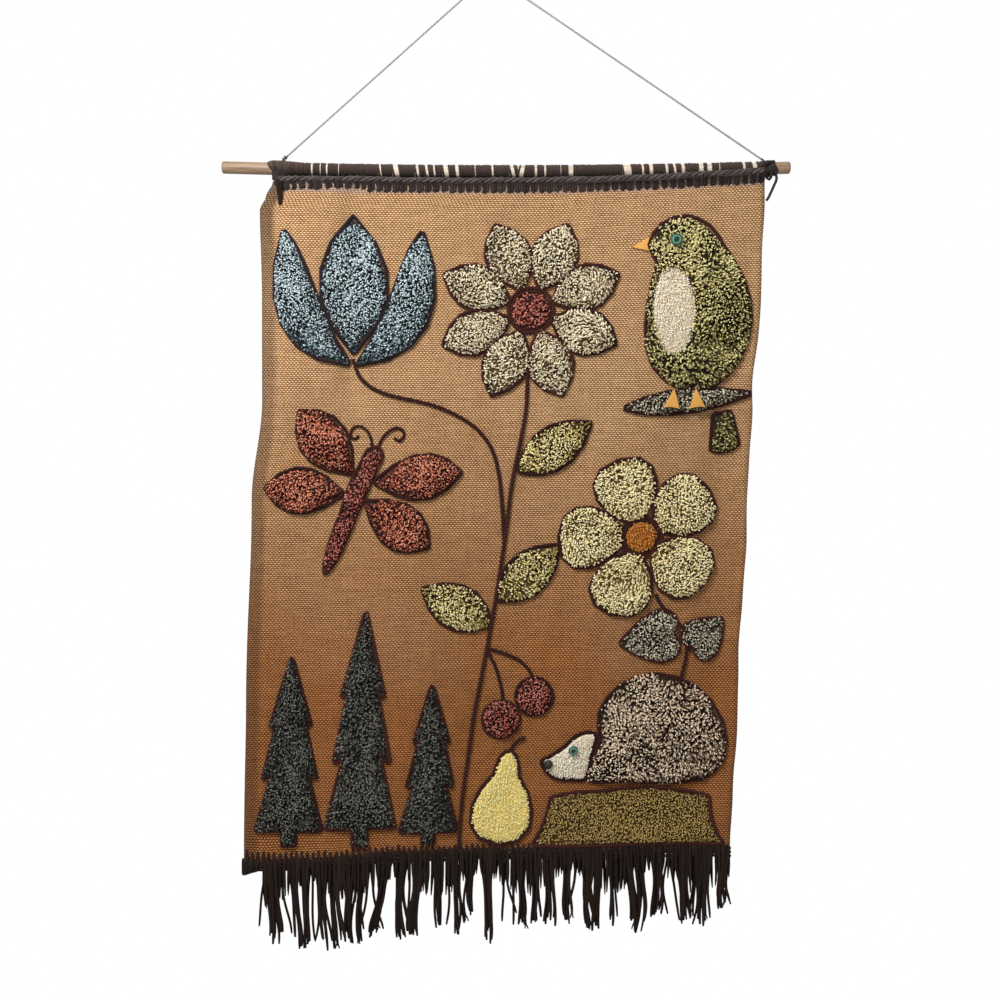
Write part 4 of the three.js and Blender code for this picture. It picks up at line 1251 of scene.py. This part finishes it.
def hooked(name, tuft, gap, out, toward, lean, drop, mess):
    """Geometry nodes that hook tufts all over a bed, all but its underside, and keep the bed."""
    group = bpy.data.node_groups.new(name, "GeometryNodeTree")
    face = group.interface
    face.new_socket(name="Bed", in_out="INPUT", socket_type="NodeSocketGeometry")
    face.new_socket(name="Seed", in_out="INPUT", socket_type="NodeSocketInt")
    face.new_socket(name="Pile", in_out="OUTPUT", socket_type="NodeSocketGeometry")
    tree = Tree(group)

    def chance(low, high, offset):
        inputs = {2: low, 3: high, "Seed": seed + offset}
        return tree.out(tree.make("FunctionNodeRandomValue", {"data_type": "FLOAT"}, inputs), 1)

    def named(attribute, kind="FLOAT"):
        settings = {"data_type": kind}
        return tree.out(tree.make("GeometryNodeInputNamedAttribute", settings, {"Name": attribute}))

    given = tree.make("NodeGroupInput")
    bed, seed = tree.out(given, 0), tree.out(given, 1)
    normal = tree.out(tree.make("GeometryNodeInputNormal"))
    shown = tree.parts(normal)[1].under(0.25)
    spread = tree.make("GeometryNodeDistributePointsOnFaces", {"distribute_method": "POISSON"}, {
        "Mesh": bed, "Selection": shown, "Distance Min": gap * MM,
        "Density Max": 0.8 / (gap * MM) ** 2, "Seed": seed})
    place = tree.out(tree.make("GeometryNodeInputPosition"))
    flow = tree.out(tree.make("ShaderNodeTexNoise", {}, {"Vector": place, "Scale": 21.0, "Detail": 1.0}), 1)
    flow = tree.scaled(tree.vectors("SUBTRACT", flow, (0.5, 0.5, 0.5)), lean * 2.6)
    limits = {"Min": (-mess, -mess, -mess), "Max": (mess, mess, mess), "Seed": seed}
    stray = tree.make("FunctionNodeRandomValue", {"data_type": "FLOAT_VECTOR"}, limits)
    outward = tree.scaled(tree.out(spread, "Normal"), out)
    aim = tree.vectors("ADD", outward, (0.0, -toward, -drop))
    aim = tree.vectors("ADD", tree.vectors("ADD", aim, flow), tree.out(stray))
    aligned = tree.make("FunctionNodeAlignRotationToVector", {"axis": "Z"}, {"Vector": aim})
    spin = {"Axis": (0, 0, 1), "Angle": chance(0.0, TURN, 7)}
    spin = tree.make("FunctionNodeAxisAngleToRotation", {}, spin)
    both = {"Rotation": tree.out(aligned), "Rotate By": tree.out(spin)}
    facing = tree.make("FunctionNodeRotateRotation", {"rotation_space": "LOCAL"}, both)
    wide = chance(0.8, 1.25, 1)
    long = chance(0.82, 1.14, 2) * (named("full") * 0.55 + 0.45)
    source = tree.make("GeometryNodeObjectInfo", {}, {"Object": tuft, "As Instance": True})
    set_in = tree.make("GeometryNodeInstanceOnPoints", {}, {
        "Points": tree.out(spread, "Points"), "Instance": tree.out(source, "Geometry"),
        "Rotation": tree.out(facing), "Scale": tree.joined(wide, wide, long)})
    kept = tree.make("GeometryNodeStoreNamedAttribute", {"data_type": "FLOAT", "domain": "INSTANCE"}, {
        "Geometry": tree.out(set_in), "Name": "shade", "Value": chance(0.12, 1.0, 3)})
    real = tree.out(tree.make("GeometryNodeRealizeInstances", {}, {0: tree.out(kept)}))
    u, v, _ = tree.parts(named("OFBake", "FLOAT_VECTOR"))
    centre = tree.make("ShaderNodeClamp", {}, {0: named("shade") + named("tone"), 1: 0.015, 2: 0.985})
    uv = tree.joined(tree.out(centre) + (u - 0.5) * 0.024, v)
    mapped = tree.make("GeometryNodeStoreNamedAttribute", {"data_type": "FLOAT2", "domain": "CORNER"}, {
        "Geometry": real, "Name": "OFBake", "Value": uv})
    joint = tree.make("GeometryNodeJoinGeometry")
    for part in (bed, tree.out(mapped)):
        group.links.new(part.socket, joint.inputs[0])
    result = tree.out(joint)
    for spent in ("shade", "tone", "full"):
        result = tree.out(tree.make("GeometryNodeRemoveAttribute", {}, {"Geometry": result, "Name": spent}))
    soft = tree.make("GeometryNodeSetShadeSmooth", {}, {"Geometry": result})
    group.links.new(soft.outputs[0], tree.make("NodeGroupOutput").inputs[0])
    return group


LONG_TUFT = model_tuft("long_tuft", 8.6, 1.85, 1.2)
CURLY_TUFT = model_tuft("curly_tuft", 7.0, 1.62, 0.9)
SHORT_TUFT = model_tuft("short_tuft", 4.6, 1.6, 0.4)
SHAGGY = hooked("shaggy_pile", LONG_TUFT, 1.4, out=0.36, toward=0.26, lean=1.15, drop=0.2, mess=0.36)
CURLY = hooked("curly_pile", CURLY_TUFT, 1.25, out=0.34, toward=0.32, lean=1.1, drop=0.1, mess=0.36)
SHORN = hooked("shorn_pile", SHORT_TUFT, 1.35, out=0.26, toward=0.5, lean=0.5, drop=0.15, mess=0.3)


def lift_of(points):
    """How far hanging points stand off the cloth's middle, in millimetres, and where they lie on it."""
    across, down = laid_flat(points)
    return -points[:, 1] / MM - forward(across, np.clip(down, 0, CLOTH_LONG)), across, down


def rim_of(piece):
    """The rim of a patch on the flat panel, evenly spaced: the longest edge of its underside."""
    mesh = bmesh.new()
    mesh.from_mesh(piece.data)
    beside = {}
    for edge in mesh.edges:
        if sum(face.normal.y > 0.5 for face in edge.link_faces) == 1:
            first, second = (vertex.index for vertex in edge.verts)
            beside.setdefault(first, []).append(second)
            beside.setdefault(second, []).append(first)
    mesh.free()
    loops = []
    while beside:
        loop = [min(beside)]
        onward = beside.pop(loop[0])
        while any(number in beside for number in onward):
            loop.append(next(number for number in onward if number in beside))
            onward = beside.pop(loop[-1])
        loops.append(loop)
    across, down = laid_flat(points_of(piece)[max(loops, key=len)])
    line = np.stack([across, down, np.zeros(len(across))], -1)
    rim = spaced(np.vstack([line, line[:1]]), 3.0, closed=True)[:, :2]
    turn = np.sum(rim[:, 0] * np.roll(rim[:, 1], -1) - np.roll(rim[:, 0], -1) * rim[:, 1])
    return rim if turn > 0 else rim[::-1]


def away(across, down, line):
    """How far places on the panel are from a line of places."""
    best = np.full(np.shape(across), 1e9)
    for (ax, ay), (bx, by) in zip(line, line[1:]):
        dx, dy = bx - ax, by - ay
        share = np.clip(((across - ax) * dx + (down - ay) * dy) / (dx * dx + dy * dy), 0, 1)
        best = np.minimum(best, np.hypot(across - ax - share * dx, down - ay - share * dy))
    return best


def within_rim(across, down, rim):
    """Which places on the panel lie within a rim."""
    inside = np.zeros(np.shape(across), bool)
    for (ax, ay), (bx, by) in zip(rim, np.roll(rim, -1, 0)):
        if ay != by:
            crossed = (ay > down) != (by > down)
            inside ^= crossed & (across < ax + (bx - ax) * (down - ay) / (by - ay))
    return inside


PATCHES = []  # each patch, with its rim on the flat panel and its finish
BED_VOXEL = 2.2
BED_SHRUNK = 1.8
BED_FACES_KEPT = 0.25
DOME_HIGH = 5.8
ROUND_OFF = 13.0  # how far in from its rim a patch is full
# Painted shade at each patch's rim: how dark it is, and how far in it reaches.
RIM_PAINTED_SHADE = 0.19
RIM_WIDE = 9.0
MOTTLE = 0.17
LIFTED = 0.12  # how much paler all tufts are, to make up for the painted shade at their rims


def grow_pile(node, finish, slot, hooks=CURLY, *, seed, tone=None):
    """Cut pile in place of a CAD patch: a domed bed, and tufts hooked all over it."""
    pile = copy_of(node, node + "_pile")
    rim = rim_of(pile)
    PATCHES.append((node, rim, finish))
    pile.data.remesh_voxel_size = BED_VOXEL * MM
    only(pile)
    bpy.ops.object.voxel_remesh()
    editing(pile)
    bpy.ops.mesh.vertices_smooth(factor=0.5, repeat=2)
    bpy.ops.transform.shrink_fatten(value=-BED_SHRUNK * MM)
    edited()
    fewer = pile.modifiers.new("fewer_faces", "DECIMATE")
    fewer.ratio = BED_FACES_KEPT
    apply_all(pile)
    points = points_of(pile)
    lift, across, down = lift_of(points)
    edge = np.vstack([rim, rim[:1]])
    deep = away(across, down, edge)
    full = np.sqrt(1 - (1 - np.clip(deep / ROUND_OFF, 0, 1)) ** 2)
    uneven = 0.7 * np.sin(across / 7.1 + down / 11.3) * np.sin(down / 8.3 - across / 13.7)
    crown = DOME_HIGH * (0.42 + 0.58 * full) + uneven * full
    risen = np.clip((lift - FACE) / (lift.max() - FACE), 0, 1)
    points[:, 1] += (lift - (FACE + 0.1 + risen * crown)) * MM
    put_points(pile, points)
    # Painted shade: tufts near the rim are darker, twice as dark on the patch's lower right, where its shadow
    # falls.
    shadow_side = away(across - 1.0, down - 2.0, edge) > deep
    painted_rim_shade = -RIM_PAINTED_SHADE * (1 + shadow_side) * np.clip(1.2 - deep / RIM_WIDE, 0, 1)
    mottled = np.sin(across / 6.1 + 1.7 * np.sin(down / 9.0))
    mottled *= np.sin(down / 7.3 + 1.3 * np.sin(across / 8.2))
    biased = painted_rim_shade + MOTTLE * mottled + LIFTED
    if tone:
        biased += tone(across, down)
    for name, values in (("tone", biased), ("full", full)):
        layer = pile.data.attributes.new(name, "FLOAT", "POINT")
        layer.data.foreach_set("value", values.astype(np.float32))
    corners = np.empty(len(pile.data.loops), int)
    pile.data.loops.foreach_get("vertex_index", corners)
    # The bed takes the dark colour of the tufts' roots: painted shade between the tufts.
    u = 0.01 + 0.02 * (across - across.min()) / np.ptp(across)
    v = 0.23 + 0.06 * (down - down.min()) / np.ptp(down)
    own = pile.data.uv_layers.new(name="OFBake")
    own.data.foreach_set("uv", np.stack([u, v], -1)[corners].ravel())
    rows = pile.modifiers.new("hooks", "NODES")
    rows.node_group = hooks
    rows["Socket_1"] = seed
    apply_all(pile)
    return done(pile, finish, slot, node)


BLUE = pile_finish("ice_blue_pile", (0.002, 0.004, 0.005), (0.042, 0.070, 0.084),
                   (0.26, 0.36, 0.395), (0.80, 0.90, 0.92))
SAGE = pile_finish("sage_heather_pile", (0.040, 0.024, 0.008), (0.36, 0.26, 0.13),
                   (0.86, 0.71, 0.47), (1.0, 0.93, 0.71), body=0.44)
CREAM = pile_finish("ivory_pile", (0.68, 0.57, 0.41), (0.86, 0.76, 0.58),
                    (0.95, 0.88, 0.71), (1.0, 0.97, 0.84), body=0.75)
GREEN = pile_finish("moss_green_pile", (0.008, 0.004, 0.0005), (0.105, 0.080, 0.017),
                    (0.44, 0.375, 0.11), (0.88, 0.79, 0.40))
RUST = pile_finish("rust_heather_pile", (0.014, 0.0005, 0.0002), (0.15, 0.018, 0.008),
                   (0.45, 0.100, 0.046), (0.92, 0.41, 0.25))
MAROON = pile_finish("maroon_heather_pile", (0.010, 0.0005, 0.0002), (0.12, 0.009, 0.006),
                     (0.33, 0.060, 0.040), (0.72, 0.27, 0.21), body=0.42)
BROWN = pile_finish("brown_heather_pile", (0.006, 0.0015, 0.0003), (0.088, 0.047, 0.024),
                    (0.40, 0.27, 0.165), (1.0, 0.84, 0.63))
OLIVE = pile_finish("olive_shorn_pile", (0.050, 0.024, 0.004), (0.19, 0.112, 0.020),
                    (0.36, 0.235, 0.048), (0.60, 0.44, 0.15), body=0.55)
LIME = pile_finish("lime_heather_pile", (0.024, 0.011, 0.001), (0.27, 0.185, 0.038),
                   (0.70, 0.56, 0.19), (1.0, 0.93, 0.53), body=0.44)
TEAL = pile_finish("dark_teal_pile", (0.001, 0.001, 0.0005), (0.009, 0.009, 0.006),
                   (0.042, 0.042, 0.031), (0.26, 0.255, 0.21))
HONEY = pile_finish("honey_heather_pile", (0.085, 0.043, 0.008), (0.60, 0.44, 0.17),
                    (1.0, 0.84, 0.41), (1.0, 0.94, 0.60), body=0.62)
YELLOW = pile_finish("straw_yellow_pile", (0.78, 0.60, 0.17), (0.92, 0.76, 0.25),
                     (1.0, 0.89, 0.36), (1.0, 0.96, 0.52), body=0.75)
AMBER = pile_finish("amber_shorn_pile", (0.32, 0.078, 0.004), (0.47, 0.155, 0.012),
                    (0.60, 0.235, 0.031), (0.74, 0.37, 0.082), body=0.55)
GREY_GREEN = pile_finish("grey_green_pile", (0.008, 0.005, 0.0015), (0.098, 0.082, 0.047),
                         (0.37, 0.33, 0.225), (0.88, 0.80, 0.62), body=0.42)


def darker_near(line, reach, amount):
    return lambda across, down: -amount * np.exp(-((away(across, down, line) / reach) ** 2))


def paler_to(start, end, low, high):
    """A tone that goes from low at the start to high at the end."""
    run = np.array(end, float) - np.array(start, float)

    def tone(across, down):
        share = ((across - start[0]) * run[0] + (down - start[1]) * run[1]) / (run @ run)
        return low + (high - low) * np.clip(share, 0, 1)

    return tone


def even(amount):
    return lambda across, down: amount + across * 0


def all_of(*tones):
    return lambda across, down: sum(tone(across, down) for tone in tones)


def hook_motifs():
    """Every patch, with the places where its tufts are darker or paler."""
    for i in range(1, 4):
        tone = all_of(paler_to((112, 215), (112, 120), -0.2, 0.12),
                      darker_near([(112, 222), (112, 221)], 40, 0.2))
        grow_pile(f"tulip_petal_{i}", BLUE, "blue_pile", seed=10 + i, tone=tone)
    for i in range(1, 9):
        tone = darker_near([(324, 154), (324, 155)], 44, 0.4)
        grow_pile(f"daisy_petal_{i}", SAGE, "sage_pile", seed=20 + i, tone=tone)
    grow_pile("daisy_hub", MAROON, "maroon_pile", seed=29, tone=even(0.1))
    for i in range(1, 6):
        tone = darker_near([(472, 434), (472, 435)], 40, 0.5)
        grow_pile(f"rose_petal_{i}", HONEY, "honey_pile", seed=30 + i, tone=tone)
    grow_pile("rose_hub", AMBER, "orange_felt", SHORN, seed=39)
    for i in range(1, 5):
        tone = darker_near([(150, 330), (118, 400), (90, 470)], 34, 0.42)
        grow_pile(f"dragonfly_wing_{i}", RUST, "rust_pile", seed=40 + i, tone=tone)
    grow_pile("dragonfly_body", MAROON, "maroon_pile", seed=49)
    feathers = all_of(paler_to((540, 250), (500, 60), -0.16, 0.5),
                      darker_near([(540, 110), (560, 160), (548, 215)], 16, 0.35))
    grow_pile("bird_body", GREEN, "green_pile", SHAGGY, seed=50, tone=feathers)
    wing = paler_to((530, 100), (575, 210), 0.05, -0.3)
    grow_pile("bird_wing", GREEN, "green_pile", SHAGGY, seed=51, tone=wing)
    grow_pile("bird_tail", GREEN, "green_pile", seed=52, tone=even(-0.12))
    grow_pile("bird_breast", CREAM, "cream_pile", SHORN, seed=53)
    grow_pile("twig", GREY_GREEN, "brown_pile", seed=54, tone=even(-0.15))
    veins = [[(322, 352), (400, 296)], [(296, 540), (212, 495)], [(304, 510), (372, 443)]]
    for i, vein in enumerate(veins, 1):
        grow_pile(f"lime_leaf_{i}", LIME, "lime_pile", seed=60 + i, tone=darker_near(vein, 4.5, 0.6))
    for i, vein in enumerate([[(526, 552), (470, 560)], [(540, 574), (572, 540)]], 1):
        grow_pile(f"heart_leaf_{i}", GREY_GREEN, "teal_pile", seed=64 + i, tone=darker_near(vein, 4.0, 0.45))
    for i in range(1, 4):
        grow_pile(f"fir_{i}", TEAL, "teal_pile", seed=70 + i)
    ripe = paler_to((350, 800), (290, 700), -0.25, 0.15)
    grow_pile("pear", YELLOW, "yellow_pile", SHORN, seed=75, tone=ripe)
    for i in range(1, 3):
        grow_pile(f"cherry_{i}", MAROON, "maroon_pile", seed=76 + i)
    coat = all_of(paler_to((560, 720), (440, 640), -0.2, 0.15),
                  darker_near([(440, 770), (560, 775)], 22, 0.25))
    grow_pile("hedgehog_coat", BROWN, "brown_pile", SHAGGY, seed=80, tone=coat)
    grow_pile("hedgehog_face", CREAM, "cream_pile", SHORN, seed=81)
    grow_pile("mossy_bank", OLIVE, "olive_pile", SHORN, seed=82)


hook_motifs()

# ---- yarn laid round and between the motifs ----

INLAID = ("bird_breast", "bird_wing")
OUTLINE_OFF = 1.4
OUTLINE_LOWER = 0.6  # how much further off an outline lies under its patch
HUB_RING_OFF = 6.0


def lay_outlines():
    """Yarn couched down round every patch that isn't inlaid: black round the tulip, maroon elsewhere."""
    for name, finish, thick, chosen in (
        ("tulip_outlines", BLACK_YARN, 5.0, True),
        ("motif_outlines", MAROON_YARN, 4.7, False),
    ):
        skein = Skein(name, sides=6, rings_a_twist=2, seed=12)
        for node, rim, _ in PATCHES:
            if node in INLAID or node.startswith("tulip") != chosen:
                continue
            ahead = np.roll(rim, -1, 0) - np.roll(rim, 1, 0)
            ahead /= np.linalg.norm(ahead, axis=1)[:, None]
            rings = [(OUTLINE_OFF + OUTLINE_LOWER * np.maximum(0.0, -ahead[:, 0]), 0.42)]
            if node.endswith("_hub"):
                rings.append((HUB_RING_OFF, 0.35))
            for off, seat in rings:
                across = rim[:, 0] + ahead[:, 1] * off
                down = rim[:, 1] - ahead[:, 0] * off
                skein.lay(hang(across, down, FACE + thick * seat), thick, closed=True)
        done(skein.spun(), finish, "dark_yarn")


# Stems: where each runs down the panel, and how thick its yarn is.
STEMS = [
    ([(324, 204), (324, 262), (320, 310), (316, 352), (306, 450), (300, 510), (296, 545), (288, 600),
      (278, 656), (273, 705), (268, 760), (266, 812)], 5.0),
    ([(111, 215), (122, 238), (150, 256), (220, 274), (272, 306), (298, 356), (307, 440)], 4.8),
    ([(494, 506), (503, 520), (518, 534), (532, 552), (536, 575), (531, 605), (519, 642)], 4.8),
    ([(540, 574), (536, 576)], 4.2),
    ([(314, 635), (312, 618), (305, 594), (293, 570)], 4.2),
    ([(350, 607), (344, 594), (326, 580), (293, 568)], 4.2),
    ([(324, 698), (327, 690), (333, 683), (341, 679)], 4.6),
    ([(141, 326), (138, 312), (131, 301), (122, 296), (114, 299), (112, 307), (117, 312), (122, 309)], 3.7),
    ([(147, 326), (151, 312), (159, 302), (168, 298), (176, 302), (177, 310), (172, 314), (167, 311)], 3.7),
]
STEM_PLY = 0.72  # how thick each of a stem's two plies is, against the stem
STEM_PITCH = 8.5
BACK_STEP = 3.0
BACK_ROWS_APART = 5.4
BACK_YARN_THICK = 3.1


def lay_stems():
    """Stems of two plies twisted together, laid on the panel."""
    skein = Skein("stems", sides=6, rings_a_twist=4, seed=13)
    for route, thick in STEMS:
        ply = thick * STEM_PLY
        middle = panel_line(route, FACE + thick * 0.45, 2.2)
        for line in twisted(middle, (thick - ply) / 2 + 0.35, STEM_PITCH, 2):
            skein.lay(line, ply)
    return done(skein.spun(), MAROON_YARN, "dark_yarn")


def show_backs():
    """The back of the work: rows of short stitches in each patch's yarn."""
    rims = {node: rim for node, rim, _ in PATCHES}
    skeins = {}
    for node, rim, finish in PATCHES:
        name = finish.name.replace("_pile", "_back_stitches")
        skein = skeins.setdefault(finish.name, Skein(name, sides=4, rings_a_twist=2, seed=14))
        cut_out = [rims[inlay] for inlay in INLAID if node == "bird_body"]
        steps = np.arange(rim[:, 0].min(), rim[:, 0].max(), BACK_STEP)
        rows = np.arange(rim[:, 1].min() + 2.5, rim[:, 1].max(), BACK_ROWS_APART)
        for row, down in enumerate(rows):
            across = steps + BACK_STEP / 2 * (row % 2)
            held = within_rim(across, np.full(len(across), down), rim)
            for other in cut_out:
                held &= ~within_rim(across, np.full(len(across), down), other)
            marks = np.flatnonzero(np.diff(np.concatenate([[0], held.astype(int), [0]])))
            for start, stop in zip(marks[::2], marks[1::2]):
                if stop - start > 2:
                    raised = np.arange(start, stop) % 2
                    line = hang(across[start:stop], down + 0.5 * raised, -FACE - 0.6 - 1.1 * raised)
                    skein.lay(line, BACK_YARN_THICK)
    for name, skein in skeins.items():
        yarn = yarn_finish(name.replace("_pile", "_back"), *PALETTES[name])
        done(skein.spun(), yarn, "dark_yarn")


lay_outlines()
lay_stems()
show_backs()

# ---- eyes, nose, beak and feet ----

BUTTON_GREEN = [(0.0, (0.004, 0.045, 0.034)), (0.30, (0.008, 0.075, 0.055)), (0.47, (0.006, 0.055, 0.042)),
                (0.51, (0.085, 0.26, 0.17)), (0.61, (0.12, 0.33, 0.22)), (0.65, (0.012, 0.085, 0.062)),
                (0.74, (0.002, 0.020, 0.016)), (1.0, (0.0006, 0.005, 0.004))]
BUTTON_BLACK = [(0.0, (0.004, 0.003, 0.003)), (1.0, (0.012, 0.010, 0.010))]
BUTTON_RINGS = [(2.6, -4.0, 0.0), (2.6, -0.5, 0.04), (6.2, -0.3, 0.10), (7.0, 0.4, 0.17), (7.0, 1.8, 0.25),
                (6.6, 2.5, 0.33), (5.9, 2.8, 0.40), (5.3, 2.5, 0.46), (4.8, 2.6, 0.53), (3.7, 2.9, 0.64),
                (3.3, 2.7, 0.71), (2.7, 2.9, 0.78), (1.5, 3.2, 0.90), (0.5, 3.3, 1.0)]
NOSE_RINGS = [(5.0, -4.0, 0.0), (5.4, 0.0, 0.2), (5.4, 1.2, 0.35), (4.6, 2.6, 0.55), (3.0, 3.6, 0.75),
              (1.2, 4.1, 0.9), (0.4, 4.2, 1.0)]


def set_button(name, node, rings, finish, slot):
    """A round button in place of its CAD one, square to the cloth where it sits."""
    low, high = (np.array(corner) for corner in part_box(node))
    middle = (low + high) / 2
    across, down = (float(value[0]) for value in laid_flat(middle[None]))
    place, beside, below = hang([across, across + 5, across], [down, down, down + 5])
    right = (beside - place) / np.linalg.norm(beside - place)
    up = (place - below) / np.linalg.norm(place - below)
    out = np.cross(right, up)
    piece = turned(name, rings, 28, filled=True)
    size = (high[0] - low[0]) / 2 / (max(radius for radius, _, _ in rings) * MM)
    points = points_of(piece)
    front = points[:, 2].max()
    middle[1] = low[1]
    put_points(piece, middle + (points[:, :1] * right + points[:, 1:2] * up) * size
               + (points[:, 2:] - front) * out)
    done(piece, finish, slot, node, smooth_angle=35)


def cut_felt(name, node, finish, slot):
    """A felt shape: its CAD solid with softened edges."""
    piece = copy_of(node, name)
    soft = piece.modifiers.new("soft_edges", "BEVEL")
    soft.width = 0.6 * MM
    soft.segments = 2
    soft.limit_method = "ANGLE"
    soft.angle_limit = math.radians(50)
    apply_all(piece)
    done(piece, finish, slot, node, smooth_angle=40)


EYE_PLASTIC = plastic_finish("green_button_plastic", *BUTTON_GREEN)
NOSE_PLASTIC = plastic_finish("black_button_plastic", *BUTTON_BLACK)
FELT = felt_finish("amber_felt", (0.50, 0.20, 0.03), (0.80, 0.42, 0.10))
set_button("bird_eye_button", "bird_eye", BUTTON_RINGS, EYE_PLASTIC, "eye_button")
set_button("hedgehog_eye_button", "hedgehog_eye", BUTTON_RINGS, EYE_PLASTIC, "eye_button")
set_button("hedgehog_nose_button", "hedgehog_nose", NOSE_RINGS, NOSE_PLASTIC, "black_button")
cut_felt("felt_beak", "bird_beak", FELT, "orange_felt")
cut_felt("felt_foot_left", "bird_foot_1", FELT, "orange_felt")
cut_felt("felt_foot_right", "bird_foot_2", FELT, "orange_felt")

# ---- the end ----

for pattern in (LONG_TUFT, CURLY_TUFT, SHORT_TUFT):
    bpy.data.objects.remove(pattern)

size = [[list(corner) for corner in box] for box in (CAD_BOX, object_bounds())]
